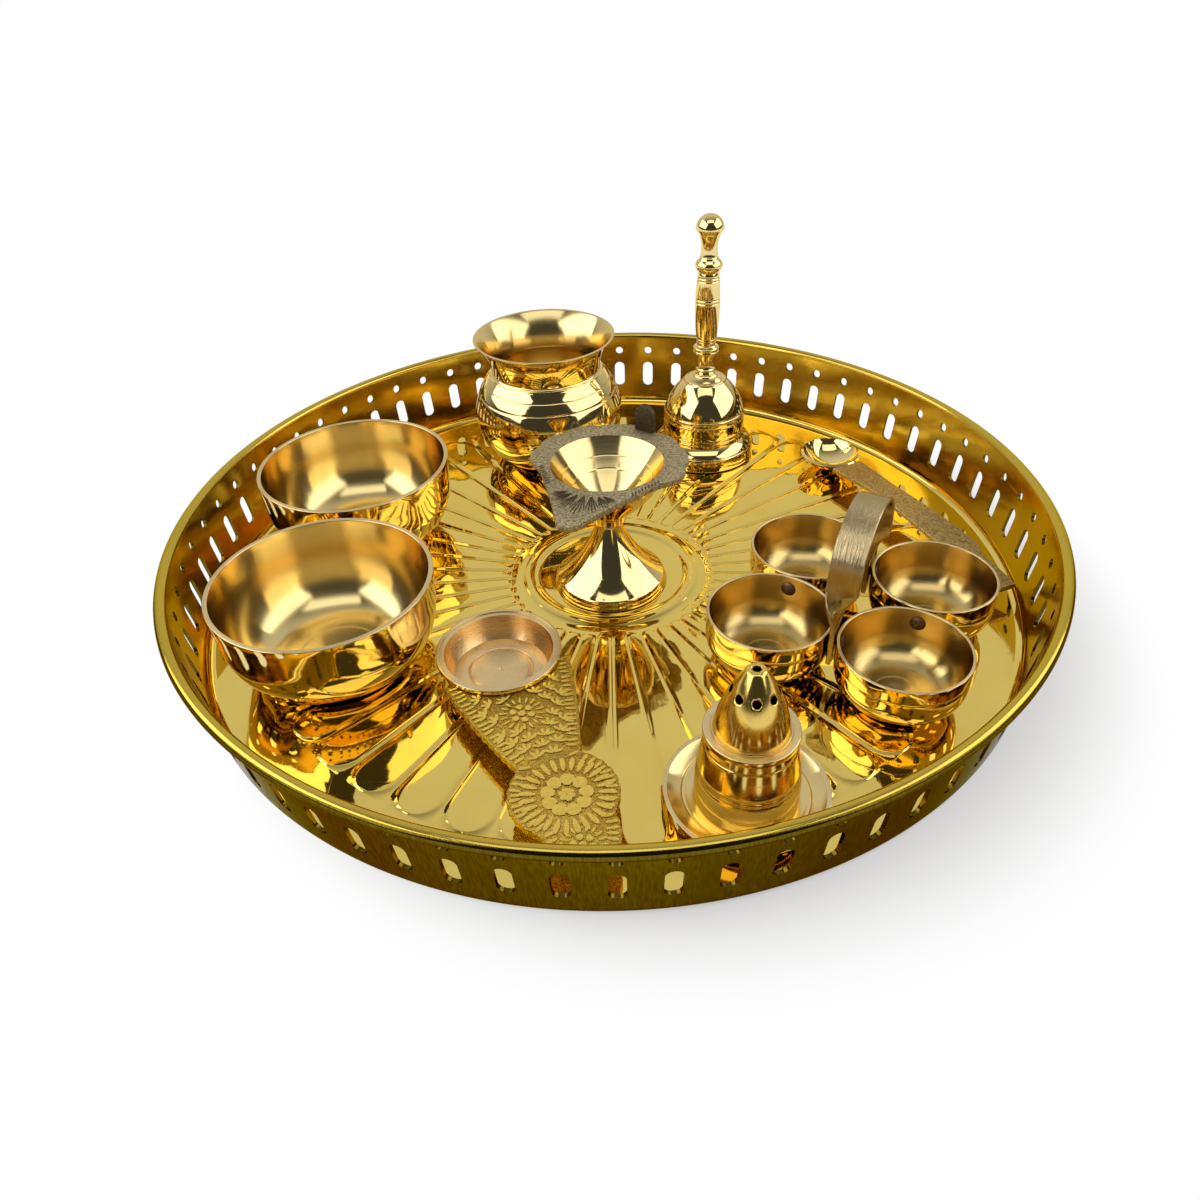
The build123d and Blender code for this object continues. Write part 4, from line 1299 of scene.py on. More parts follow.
@dataclass
class Diya:
    """The oil lamp: trumpet foot, bowl, leaf flange with its engraved fan, and thumb tab."""

    body: str = "diya"
    place: Vector = vector_field(0, -4.0, 1.5)
    spout_turn: float = -110.0
    foot: float = 20.7
    foot_edge: float = 3.2
    foot_taper: float = 1.2
    recess: Pair = (18.0, 9.0)
    recess_bow: float = 2.6
    trumpet: Pair = (25.0, 2.0)
    stem: Pair = (4.3, 26.0)
    spigot: Pair = (2.6, 30.0)
    level: float = 49.0
    brim_drop: float = 0.25
    plate: float = 2.2
    mouth: float = 19.4
    wall: float = 1.8
    collar: Pair = (6.2, 28.6)
    well: Pair = (3.5, 32.5)
    side_bow: float = 1.4
    well_bow: float = 1.2
    flange: float = 26.6
    cusp: Pair = (7.0, 24.2)
    throat: Pair = (15.5, 17.4)
    spout: Pair = (40.5, 3.4)
    scallops: tuple[int, ...] = (100, 128, 156, 204, 232, 260)
    scallop_share: float = 0.17
    spout_bows: Triple = (-0.8, -0.5, 1.2)
    ripple: Pair = (0.16, 2.1)
    fan_root: Pair = (21.2, 1.6)
    fan_petals: tuple[Pair, ...] = ((0, 12.5), (20, 10.5), (40, 8.5), (58, 6.5))
    tab_turn: float = 56.0
    tab_reach: float = 27.2
    tab_size: Triple = (7.4, 9.8, 2.6)
    tab_lift: float = 0.2
    tab_edge: float = 0.5

    def build(self) -> None:
        """Turn the foot and the bowl, cut the flange, engrave its fan and raise the tab."""
        self._foot()
        self._pan()
        self._flange()
        self._tab()

    def _foot(self) -> None:
        """Turn the trumpet foot."""
        edge_top = self.foot - self.foot_taper
        profile = Profile(0, self.recess[1], VESSEL_POLISH).bow(self.recess[0], 0, -self.recess_bow)
        profile.line(self.foot, 0).soften(0.4)
        profile.line(edge_top, self.foot_edge, Groove(0.5, 0.06, 0.4), steps=4).soften(0.5)
        profile.bow(self.stem[0], *self.trumpet, steps=30)
        profile.line(*self.stem, Groove(0.5, -0.25, 0.4), steps=3)
        profile.line(self.spigot[0], self.stem[1]).line(*self.spigot).line(0, self.spigot[1])
        Bench.turn(profile, self.place, "diya_trumpet", self.body, "diya_foot")

    def _pan(self) -> None:
        """Turn the oil bowl."""
        outside = self.mouth + self.wall
        brim = self.level - self.brim_drop
        socket, socket_top = (size + FIT for size in self.spigot)
        profile = Profile(0, socket_top, VESSEL_POLISH).line(socket, socket_top)
        profile.line(socket, self.stem[1]).line(self.collar[0], self.stem[1]).soften(0.4)
        profile.line(*self.collar).soften(0.4)
        profile.bow(outside, self.level - self.plate, -self.side_bow, steps=18)
        profile.line(outside, brim).line(self.mouth, brim).paint(VESSEL_TURNED)
        rings = [Groove(share, 0.05, 0.5) for share in (0.3, 0.52)]
        profile.bow(*self.well, self.well_bow, *rings, steps=22)
        profile.line(0, self.well[1], steps=2)
        Bench.turn(profile, self.place, "diya_bowl", self.body, "diya_pan")

    def _outline(self) -> list[Vector]:
        """The flange's scalloped leaf outline.

        Returns:
            Its points at the flange's top, in the lamp's own axes.
        """
        corners = [Vector((*self.cusp, 0))]
        corners += [on_floor(self.flange, angle) for angle in self.scallops]
        corners += [Vector((self.cusp[0], -self.cusp[1], 0))]
        sides = list(zip(corners, corners[1:]))
        runs = [(start, end, self.scallop_share * (end - start).length) for start, end in sides]
        throat = Vector((self.throat[0], -self.throat[1], 0))
        tip = Vector((self.spout[0], -self.spout[1], 0))
        flip = Matrix.Diagonal((1, -1, 1))
        throat_bow, tip_bow, end_bow = self.spout_bows
        path = [corners[-1], throat, tip, flip @ tip, flip @ throat, corners[0]]
        runs += zip(path, path[1:], (throat_bow, tip_bow, end_bow, tip_bow, throat_bow))
        points: list[Vector] = []
        for start, end, rise in runs:
            chord = end - start
            steps = max(6, round(chord.length / 1.3))
            right = Vector((chord.y, -chord.x, 0)).normalized()
            for step in range(steps):
                share = step / steps
                ripple = self.ripple[0] * math.sin(share * chord.length * self.ripple[1])
                swell = 4 * rise * share * (1 - share) + ripple
                points.append(start + share * chord + swell * right)
        for point in points:
            point.z = self.level
        return points

    def _flange(self) -> None:
        """Cut the leaf flange and raise the lines of its lotus fan."""
        shape = bmesh.new()
        fan = bmesh.new()
        hole = [on_floor(self.mouth, 360 * step / 96, self.level) for step in range(96)]
        Shaper.plate(shape, [self._outline(), hole], self.plate, 0.3)
        middle, reach = self.fan_root
        left = [(-turn, length) for turn, length in reversed(self.fan_petals[1:])]
        for turn, length in (*left, *self.fan_petals):
            root = Vector((middle, turn * 0.075, self.level)) + on_floor(reach, turn * 1.2)
            for spread in (-16, -8, 0, 8, 16):
                line = Leaf(length * (1 - abs(spread) / 60), width=0.36, height=0.14, widest=0.6)
                line.lay(fan, root, turn + spread)
        tick = Leaf(2.6, width=0.5, height=0.14, widest=0.6)
        for side in (-1, 1):
            for step in range(9):
                root = Vector((17.0 - step * 1.2, side * (14.0 + step * 0.75), self.level))
                tick.lay(fan, root, side * 24)
        matrix = stand(self.place, self.spout_turn)
        for drawn, name, finish in (
            (shape, "diya_flange", LAMP_CAST),
            (fan, "diya_fan", LAMP_DARK),
        ):
            bmesh.ops.transform(drawn, matrix=matrix, verts=drawn.verts)
            Bench.settle(drawn, name, self.body, [finish])

    def _tab(self) -> None:
        """Raise the thumb tab."""
        wide, tall, thick = self.tab_size
        half = wide / 2
        foot = self.level - self.plate + self.tab_lift
        middle = Vector((0, self.level + tall - half, 0))
        outline = [Vector((-half, foot, 0)), Vector((half, foot, 0))]
        outline += [middle + on_floor(half, 180 * step / 14) for step in range(15)]
        shape = bmesh.new()
        Shaper.plate(shape, [outline], thick, self.tab_edge)
        tilt = Matrix(((0, 0, 1), (1, 0, 0), (0, 1, 0))).to_4x4()
        reach = Matrix.Translation((self.tab_reach, 0, 0))
        matrix = stand(self.place, self.tab_turn) @ reach @ tilt
        bmesh.ops.transform(shape, matrix=matrix, verts=shape.verts)
        Bench.settle(shape, "diya_tab", self.body, [LAMP_DARK])


@dataclass
class Bell:
    """The hand bell: cast dome and turned handle, in millimetres."""

    body: str = "bell"
    place: Vector = vector_field(44.96, 89.77, 2.1)
    lip: float = 21.8
    lip_edge: float = 0.8
    lip_bow: float = 1.5
    waist: Pair = (17.6, 9.0)
    shoulder: Pair = (17.4, 20.0)
    crown: Pair = (6.2, 36.0)
    crown_plate: float = 2.4
    dome_bow: float = 1.8
    wall: float = 1.9
    stud: Pair = (1.7, -5.0)
    foot: float = 5.6
    neck: Pair = (3.4, 8.9)
    neck_bow: float = 1.2
    collar: Triple = (5.3, 10.0, 12.4)
    grip_foot: Pair = (3.8, 13.4)
    grip_top: Pair = (4.3, 42.8)
    grip_bow: float = 1.0
    knot: Triple = (5.5, 43.7, 48.7)
    waist_radius: float = 3.9
    waist_bow: float = 0.9
    cap_foot: Pair = (4.4, 58.6)
    cap: Pair = (5.6, 60.1)

    def build(self) -> None:
        """Turn the dome and the handle, and coat the parts inside."""
        self._dome()
        self._handle()
        Bench.coat("bell_staple", FIXING_BRIGHT)
        Bench.coat("bell_clapper", FIXING_BRIGHT)

    def _dome(self) -> None:
        """Turn the dome with its ringed waist."""
        inset = self.wall
        underside = self.crown[1] - self.crown_plate
        hole = self.stud[0] + FIT
        profile = Profile(hole, underside, VESSEL_TURNED).line(self.crown[0] - inset, underside)
        profile.bow(self.shoulder[0] - inset, self.shoulder[1], self.dome_bow)
        profile.line(self.waist[0] - inset, self.waist[1])
        profile.bow(self.lip - inset, self.lip_edge, self.lip_bow)
        profile.line(self.lip - inset, 0).paint(RIM_CUT)
        profile.line(self.lip, 0).soften(0.3).paint(VESSEL_POLISH).line(self.lip, self.lip_edge)
        profile.bow(*self.waist, -self.lip_bow, Groove(0.5, 0.1, 0.35))
        waist_rings = [Groove(share, 0.14, 0.35) for share in (0.16, 0.32, 0.84)]
        crown_rings = (Groove(0.05, 0.14, 0.35), Groove(0.86, -0.3, 0.7))
        profile.line(*self.shoulder, *waist_rings, steps=4)
        profile.bow(*self.crown, -self.dome_bow, *crown_rings, steps=24).soften(0.4)
        profile.line(hole, self.crown[1]).line(hole, underside)
        Bench.turn(profile, self.place, "bell_body", self.body, "bell_dome")

    def _handle(self) -> None:
        """Turn the handle with its collar, grip, knot and cap."""
        profile = Profile(0, self.stud[1], VESSEL_POLISH).line(*self.stud).line(self.stud[0], 0)
        profile.line(self.foot, 0).soften(0.4)
        profile.bow(*self.neck, self.neck_bow, Groove(0.14, 0.25, 0.5), Groove(0.34, -0.2, 0.6))
        profile.line(self.collar[0], self.collar[1]).soften(0.5)
        profile.line(self.collar[0], self.collar[2], Groove(0.5, 0.2, 0.45)).soften(0.5)
        profile.line(*self.grip_foot).soften(0.4)
        rings = [Groove(share, 0.18, 0.35) for share in (0.06, 0.1, 0.62, 0.665, 0.92, 0.96)]
        profile.bow(*self.grip_top, -self.grip_bow, *rings, steps=22)
        profile.line(self.waist_radius, self.knot[1]).soften(0.3)
        knot_bow = self.waist_radius - self.knot[0]
        profile.bow(self.waist_radius, self.knot[2], knot_bow, steps=14).soften(0.3)
        profile.bow(*self.cap_foot, self.waist_bow, Groove(0.1, 0.2, 0.4), steps=14).soften(0.3)
        profile.line(*self.cap).soften(0.5)
        profile.quarter((0, self.cap[1]), (self.cap[0], self.cap[0]), 0, 90)
        foot = self.place + self.crown[1] * UP
        Bench.turn(profile, foot, "bell_grip", self.body, "bell_handle", steps=96)


@dataclass
class Spoon:
    """The offering spoon, in millimetres."""

    body: str = "spoon"
    place: Vector = vector_field(97.32, 68.58, 2.1)
    turn: float = -68.4
    bowl: Triple = (12.8, 12.2, 7.0)
    wall: float = 1.1
    strip: float = 1.8
    ease: float = 0.35
    camber: float = 0.15
    lift: float = 0.02
    arch: float = 2.6
    ends: Pair = (11.7, 106.0)
    widths: tuple[Pair, ...] = ((11.7, 7.0), (36.0, 5.2), (83.0, 6.8), (88.0, 4.2), (106.0, 3.4))

    def build(self) -> None:
        """Form the bowl, draw the handle and engrave it."""
        shape = bmesh.new()
        self._bowl(shape)
        Bench.settle(self._stand(shape), "spoon_bowl", self.body, [VESSEL_POLISH], ["spoon"])
        shape = bmesh.new()
        self._handle(shape)
        Bench.settle(self._stand(shape), "spoon_handle", self.body, [SPOON_ENGRAVED])

    def _stand(self, shape: Mesh) -> Mesh:
        """Carry the spoon from its own axes to its place on the tray."""
        bmesh.ops.transform(shape, matrix=stand(self.place, self.turn), verts=shape.verts)
        return shape

    def _bowl(self, shape: Mesh) -> None:
        """Dish the bowl from the lower part of an ellipsoid.

        Args:
            shape: The bowl's mesh.
        """
        half_length, half_width, depth = self.bowl
        along = shape.verts.layers.float.new("along")
        ball = (half_width**2 + depth**2) / (2 * depth)
        long = half_length * ball / half_width
        bmesh.ops.create_uvsphere(shape, u_segments=96, v_segments=80, radius=1.0)
        bmesh.ops.scale(shape, vec=(long, ball, ball), verts=shape.verts)
        bmesh.ops.translate(shape, vec=(0, 0, ball), verts=shape.verts)
        bmesh.ops.bisect_plane(
            shape,
            geom=shape.verts[:] + shape.edges[:] + shape.faces[:],
            plane_co=(0, 0, depth),
            plane_no=UP,
            clear_outer=True,
        )
        bmesh.ops.recalc_face_normals(shape, faces=shape.faces)
        lowest = min(shape.faces, key=lambda face: face.calc_center_median().z)
        if lowest.normal.z > 0:
            bmesh.ops.reverse_faces(shape, faces=shape.faces)
        for vert in shape.verts:
            vert[along] = vert.co.xy.length
        bmesh.ops.solidify(shape, geom=shape.faces[:], thickness=self.wall)

    def _half_width(self, reach: float) -> float:
        """Half of the handle's width at a reach along it.

        Args:
            reach: The reach.

        Returns:
            Half of the width.
        """
        for (start, near), (end, far) in zip(self.widths, self.widths[1:]):
            if reach <= end:
                share = (reach - start) / (end - start)
                return near + (far - near) * share
        return self.widths[-1][1]

    def _top(self, reach: float) -> float:
        """Level of the handle's top at a reach along it.

        Args:
            reach: The reach.

        Returns:
            The level.
        """
        start, end = self.ends
        share = (reach - start) / (end - start)
        return self.bowl[2] + 4 * self.arch * share * (1 - share)

    def _handle(self, shape: Mesh) -> None:
        """Draw the strip and raise its leaf engraving.

        Args:
            shape: The handle's mesh.
        """
        start, end = self.ends
        reaches = [start + (end - start) * step / 60 for step in range(61)] + [83.0, 85.5, 88.0]
        ease = self.ease
        sections = []
        for reach in sorted(reaches):
            half = self._half_width(reach)
            top = self._top(reach)
            low = top - self.strip
            outline = (
                (half, low + ease), (half, top - ease), (half - ease, top), (0, top + self.camber),
                (ease - half, top), (-half, top - ease), (-half, low + ease), (ease - half, low),
                (half - ease, low),
            )
            sections.append([Vector((reach, *point)) for point in outline])
        Shaper.skin(shape, sections, closed=True)
        bmesh.ops.recalc_face_normals(shape, faces=shape.faces)
        frond = Leaf(4.2, width=1.3, height=0.2, widest=0.6)
        bud = Leaf(2.6, width=0.8, height=0.16, widest=0.5)
        blade = Leaf(2.4, width=0.8, height=0.15, widest=0.5)
        for reach in range(22, 82, 5):
            level = self._top(reach) + self.lift
            for side in (-1, 1):
                frond.lay(shape, Vector((reach, side * 0.4, level)), side * 34)
                bud.lay(shape, Vector((reach + 2.4, side * 3.2, level - 0.05)), side * 12)
        for step in range(6):
            reach = 90 + step * 2.4
            level = self._top(reach) + self.lift
            for side in (-1, 1):
                blade.lay(shape, Vector((reach, side * 0.3, level)), side * 60)
        Shaper.lay_strokes(shape, lambda point: (point.x, point.y))


@dataclass
class KumkumHolder:
    """Four small bowls riveted round a bent strap, in millimetres."""

    body: str = "kumkum"
    place: Vector = vector_field(77.97, -44.65, 2.1)
    turn: float = -29.5
    columns: float = 21.3
    rows: float = 20.35
    radius: float = 20.2
    height: float = 19.0
    base: float = 9.5
    shoulder: float = 10.5
    wall: float = 1.0
    strap: Pair = (10.0, 1.6)
    ease: float = 0.3
    spring: Pair = (18.6, 36.0)
    rise: float = 16.0
    twist_foot: float = 20.8
    foot_level: float = 8.0
    stroke_share: float = 0.06

    def build(self) -> None:
        """Turn the bowls, bend the strap and coat the rivets."""
        corners = {
            "front_left": (-self.columns, -self.rows, 0),
            "rear_left": (-self.columns, self.rows, 0),
            "rear_right": (self.columns, self.rows, 0),
            "front_right": (self.columns, -self.rows, 0),
        }
        for name, corner in corners.items():
            place = stand(self.place, self.turn) @ Vector(corner)
            Bowl(
                f"kumkum_bowl_{name}", self.body, place, self.radius, self.height, self.base,
                self.shoulder, flare=0.0, wall=self.wall, inner=BOWL_RINGED,
                rings=(Groove(0.4, 0.08, 0.4),),
            ).build()
        self._strap()
        for name in ("left", "right", "front", "rear"):
            Bench.coat(f"kumkum_rivet_{name}", FIXING_DULL)

    def _strap(self) -> None:
        """Bend the strap: two upright feet, a quarter twist in each leg and an arch."""
        shape = bmesh.new()
        half_span, spring = self.spring
        stations: list[tuple[float, float, float, float]] = []
        for step in range(7):
            level = self.foot_level + (self.twist_foot - self.foot_level) * step / 6
            stations.append((self.rows, level, 90.0, 90.0))
        for step in range(1, 13):
            share = step / 12
            turned = share * share * (3 - 2 * share)
            reach = self.rows + (half_span - self.rows) * share
            level = self.twist_foot + (spring - self.twist_foot) * share
            stations.append((reach, level, 90 - 90 * turned, 90.0))
        for step in range(1, 33):
            angle = math.pi * step / 32
            rise, run = self.rise * math.sin(angle), half_span * math.cos(angle)
            slope = (self.rise * math.cos(angle), -half_span * math.sin(angle))
            stations.append((run, spring + rise, 0.0, math.degrees(math.atan2(*slope))))
        legs = reversed(stations[:18])
        stations += [(-reach, level, -twist, 270.0) for reach, level, twist, _ in legs]
        wide, thick = (size / 2 for size in self.strap)
        ease = self.ease
        corners = [
            (wide, thick - ease), (wide - ease, thick), (0, thick), (ease - wide, thick),
            (-wide, thick - ease), (-wide, ease - thick), (ease - wide, -thick), (0, -thick),
            (wide - ease, -thick), (wide, ease - thick),
        ]
        sections = []
        for reach, level, twist, lean in stations:
            centre = Vector((0, reach, level))
            path = Vector((0, math.cos(math.radians(lean)), math.sin(math.radians(lean))))
            flat = Matrix.Rotation(math.radians(twist), 3, path) @ Vector((1, 0, 0))
            face = path.cross(flat)
            sections.append([centre + flat * across + face * out for across, out in corners])
        Shaper.skin(shape, sections, closed=True)
        share = self.stroke_share
        Shaper.lay_strokes(shape, lambda point: (point.x, share * (point.z + point.y)))
        bmesh.ops.recalc_face_normals(shape, faces=shape.faces)
        bmesh.ops.transform(shape, matrix=stand(self.place, self.turn), verts=shape.verts)
        Bench.settle(shape, "kumkum_strap", self.body, [STRIP_BRUSHED], ["kumkum_handle"])


@dataclass
class IncenseHolder:
    """Footed saucer, turned body and pierced nose, in millimetres."""

    body: str = "incense"
    place: Vector = vector_field(33.4, -112.03, 2.1)
    saucer: Pair = (23.2, 5.4)
    saucer_foot: Pair = (14.5, 1.8)
    saucer_wall: float = 1.2
    saucer_well: float = 16.0
    saucer_bow: float = 0.7
    screw_hole: Pair = (1.85, 10.85)
    drum: Pair = (14.5, 12.0)
    drum_height: float = 23.4
    drum_bow: float = 0.8
    collar: Pair = (12.9, 25.9)
    collar_taper: float = 0.5
    socket: Pair = (5.05, 20.85)
    nose: Pair = (10.3, 2.4)
    nose_height: float = 20.2
    nose_bow: float = 1.2
    skin: float = 0.15
    flat_face: float = 0.97

    def build(self) -> None:
        """Turn the saucer and the body, paint near-black shade into the nose's holes and coat the
        screw.
        """
        self._saucer()
        self._drum()
        self._nose()
        Bench.coat("incense_screw", FIXING_BRIGHT)

    def _saucer(self) -> None:
        """Turn the saucer on its foot ring."""
        foot, lift = self.saucer_foot
        floor = lift + self.saucer_wall
        hole = self.screw_hole[0]
        inside = foot - lift
        profile = Profile(hole, floor, VESSEL_POLISH).line(hole, lift)
        profile.line(inside, lift).line(inside, 0).line(foot, 0).line(foot, lift)
        profile.bow(*self.saucer, -self.saucer_bow).soften(0.3).paint(RIM_CUT)
        profile.line(self.saucer[0] - self.saucer_wall, self.saucer[1]).soften(0.3)
        profile.paint(VESSEL_TURNED)
        profile.bow(self.saucer_well, floor, self.saucer_bow / 2, Groove(0.75, 0.15, 0.5))
        profile.line(hole, floor)
        Bench.turn(profile, self.place, "incense_dish", self.body, "incense_saucer")

    def _drum(self) -> None:
        """Turn the tapered body with its groove pair and collar."""
        hole, hole_top = self.screw_hole
        profile = Profile(0, hole_top, INCENSE_SATIN).line(hole, hole_top).line(hole, 0)
        profile.line(self.drum[0], 0).soften(0.5)
        rings = [Groove(share, 0.16, 0.35) for share in (0.44, 0.5, 0.9)]
        profile.bow(self.drum[1], self.drum_height, -self.drum_bow, *rings, steps=14)
        profile.line(self.collar[0], self.drum_height + self.collar_taper).soften(0.4)
        profile.line(*self.collar).soften(0.4).paint(RIM_CUT)
        profile.line(self.socket[0], self.collar[1], Groove(0.3, 0.15, 0.5))
        profile.line(*self.socket).line(0, self.socket[1])
        foot = self.place + (self.saucer_foot[1] + self.saucer_wall) * UP
        Bench.turn(profile, foot, "incense_drum", self.body, "incense_body")

    def _nose(self) -> None:
        """Copy the nose's solid and paint near-black shade on what lies inside its stick holes."""
        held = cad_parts["incense_nose"]
        shape = bmesh.new()
        shape.from_mesh(held.data)
        matrix = Matrix.Scale(1 / MM, 4) @ held.matrix_world
        bmesh.ops.transform(shape, matrix=matrix, verts=shape.verts)
        bmesh.ops.remove_doubles(shape, verts=shape.verts, dist=MERGE)
        bmesh.ops.recalc_face_normals(shape, faces=shape.faces)
        foot = Vector((self.nose[0], 0))
        tip = Vector((self.nose[1], self.nose_height))
        chord = tip - foot
        curve = (chord.length**2 / 4 + self.nose_bow**2) / (2 * self.nose_bow)
        outward = Vector((chord.y, -chord.x)).normalized()
        centre = (foot + tip) / 2 + (self.nose_bow - curve) * outward
        lift = self.saucer_foot[1] + self.saucer_wall + self.collar[1]
        # Faces inside the stick holes, all but the flat ones, take the near-black brass: painted
        # shade in the holes.
        for face in shape.faces:
            middle = face.calc_center_median() - self.place
            point = Vector((middle.xy.length, middle.z - lift))
            inside = (point - centre).length < curve - self.skin and point.y > self.skin
            face.material_index = int(inside and abs(face.normal.z) < self.flat_face)
        finishes = [INCENSE_SATIN, BORE_PAINTED_SHADE]
        Bench.settle(shape, "incense_cone", self.body, finishes, ["incense_nose"])


@dataclass
class AartiBurner:
    """The camphor burner: turned dish and a cast handle with flowers in relief, in millimetres."""

    body: str = "aarti"
    place: Vector = vector_field(-37.75, -54.83, 2.1)
    turn: float = -70.5
    dish: Pair = (20.2, 11.0)
    base: float = 13.5
    side: Pair = (18.4, 5.0)
    side_bow: float = 0.9
    flange: float = 1.6
    step: Pair = (19.1, 0.5)
    mouth: float = 17.5
    floor: Pair = (15.2, 2.0)
    wall_bow: float = 0.7
    ring_line: float = 10.0
    centre_mark: Pair = (0.9, 0.5)
    plate: float = 3.0
    plate_drop: float = 0.35
    plate_edge: float = 0.4
    ground_drop: float = 0.4
    yoke: Pair = (9.5, 20.4)
    waist: Pair = (50.0, 9.6)
    fan: Pair = (74.5, 10.6)
    bud: Pair = (85.5, 7.2)
    reach: float = 91.0
    bows: Triple = (1.0, 5.6, 1.2)
    tip_bow: float = 1.8
    flowers: tuple[tuple[float, float, float, int], ...] = (
        (29.5, -1.4, 6.4, 6), (64.0, 0.5, 12.4, 9), (81.3, -1.2, 6.0, 6),
    )
    scallop: float = 0.55
    scallop_pitch: float = 3.4
    spray_pitch: float = 4.6
    border: float = 4.4
    bar: Leaf = Leaf(3.4, width=1.15, height=0.5, widest=0.4)
    leaflet: Leaf = Leaf(3.0, width=1.15, height=0.5, widest=0.6)

    def build(self) -> None:
        """Turn the dish, cut the handle and raise its flowers."""
        self._dish()
        self._handle()

    def _dish(self) -> None:
        """Turn the dish with its stepped rim and the ring on its floor."""
        top = self.dish[1]
        under = top - self.flange
        step_radius, drop = self.step
        share = 1 - self.ring_line / self.floor[0]
        profile = Profile(0, 0, VESSEL_POLISH).line(self.base, 0).bow(*self.side, -self.side_bow)
        profile.line(self.side[0], under).line(self.dish[0], under).soften(0.3)
        profile.line(*self.dish).soften(0.35).paint(RIM_CUT).line(step_radius, top).soften(0.2)
        profile.line(step_radius, top - drop).line(self.mouth, top - drop).soften(0.3)
        profile.paint(DISH_TURNED)
        profile.bow(*self.floor, self.wall_bow)
        mark, depth = self.centre_mark
        profile.line(mark, self.floor[1], Groove(share, 0.22, 0.4), steps=6)
        profile.line(depth, self.floor[1] - depth).line(0, self.floor[1] - depth)
        Bench.turn(profile, self.place, "aarti_cup", self.body, "aarti_dish")

    def _edge(self) -> list[Vector]:
        """One side of the handle's outline, from the yoke to the tip.

        Returns:
            Its points in the handle's own axes, with the casting's small scallops.
        """
        marks = [self.yoke, self.waist, self.fan, self.bud, (self.reach, 0.0)]
        points: list[Vector] = []
        travel = 0.0
        for start, end, rise in zip(marks, marks[1:], (*self.bows, self.tip_bow)):
            near, far = Vector((*start, 0)), Vector((*end, 0))
            chord = far - near
            outward = Vector((-chord.y, chord.x, 0)).normalized()
            steps = max(6, round(chord.length / 0.7))
            for index in range(steps):
                share = index / steps
                travel += chord.length / steps
                ripple = self.scallop * (abs(math.sin(travel * math.pi / self.scallop_pitch)) - 0.8)
                swell = 4 * rise * share * (1 - share) + min(0.0, ripple)
                points.append(near + share * chord + swell * outward)
        return points

    def _handle(self) -> None:
        """Cut the cast handle and lay its relief: hatched border, three flowers and leaf sprays."""
        top = self.dish[1] - self.flange - FIT
        shape = bmesh.new()
        edge = self._edge()
        hole = self.side[0] + FIT
        start = math.degrees(math.acos(self.yoke[0] / hole)) if self.yoke[0] < hole else 0.0
        notch = [on_floor(hole, start - 2 * start * share / 40) for share in range(41)]
        other_edge = [Vector((point.x, -point.y, 0)) for point in reversed(edge)]
        loop = edge + [Vector((self.reach, 0, 0))] + other_edge + list(reversed(notch))
        for point in loop:
            point.z = top - self.plate_drop
        Shaper.plate(shape, [loop], self.plate - self.plate_drop, self.plate_edge)
        for face in shape.faces:
            face.material_index = 1
        ground = top - self.ground_drop
        self._border(shape, edge, ground)
        for reach, across, radius, petals in self.flowers:
            self._flower(shape, Vector((reach, across, ground)), radius, petals)
        self._sprays(shape, edge, ground)
        bmesh.ops.transform(shape, matrix=stand(self.place, self.turn), verts=shape.verts)
        finishes = [RELIEF_CAST, GROUND_CAST]
        Bench.settle(shape, "aarti_leaf", self.body, finishes, ["aarti_handle"])

    def _border(self, shape: Mesh, edge: Sequence[Vector], level: float) -> None:
        """Hatch the border with short bars square to the edge.

        Args:
            shape: The handle's mesh.
            edge: One side of its outline.
            level: The level that the bars rise from.
        """
        for index in range(3, len(edge) - 3, 3):
            run = edge[index + 2] - edge[index - 2]
            inward = Vector((run.y, -run.x, 0)).normalized()
            if inward.y > 0:
                inward = -inward
            root = edge[index] + 0.7 * inward
            turn = math.degrees(math.atan2(inward.y, inward.x))
            for side in (1, -1):
                self.bar.lay(shape, Vector((root.x, side * root.y, level)), side * turn)

    def _sprays(self, shape: Mesh, edge: Sequence[Vector], level: float) -> None:
        """Fill the ground between the flowers and the border with sprays of small leaves.

        Args:
            shape: The handle's mesh.
            edge: One side of its outline.
            level: The level that the leaves rise from.
        """
        rows = int((self.reach - self.yoke[0]) / (self.spray_pitch * 0.8))
        columns = int(2 * self.yoke[1] / self.spray_pitch) + 1
        for row in range(rows):
            reach = self.yoke[0] + (row + 0.5) * self.spray_pitch * 0.8
            half = max((point.y for point in edge if abs(point.x - reach) < 1.5), default=0.0)
            for column in range(columns):
                across = (column - columns / 2 + (row % 2) / 2) * self.spray_pitch
                root = Vector((reach, across, level))
                taken = any(
                    math.hypot(reach - x, across - y) < radius + 1.4
                    for x, y, radius, _ in self.flowers
                )
                hidden = root.xy.length < self.dish[0] + 1.5
                if taken or hidden or abs(across) > half - self.border:
                    continue
                heading = 180 - 60 * max(-1.0, min(1.0, across / 10))
                for spread in (-66, -22, 22, 66):
                    self.leaflet.lay(shape, root, heading + spread)

    @staticmethod
    def _flower(shape: Mesh, middle: Vector, radius: float, petals: int) -> None:
        """Raise one flower: a button, a ring of petals and a ring of rays.

        Args:
            shape: The handle's mesh.
            middle: The flower's middle, at the level that it rises from.
            radius: How far its rays reach.
            petals: How many petals it has.
        """
        button = Leaf(radius * 0.2, width=radius * 0.16, height=0.6, widest=0.6)
        petal = Leaf(radius * 0.36, width=radius * 0.34, height=0.55, widest=0.62)
        ray = Leaf(radius * 0.42, width=radius * 0.13, height=0.5, widest=0.6)
        rings = ((button, 6, 0.0, 0.0), (petal, petals, 0.24, 0.0), (ray, petals * 3, 0.66, 0.5))
        for leaf, count, inner, shift in rings:
            for index in range(count):
                turn = 360 * (index + shift) / count
                leaf.lay(shape, middle + on_floor(radius * inner, turn), turn)


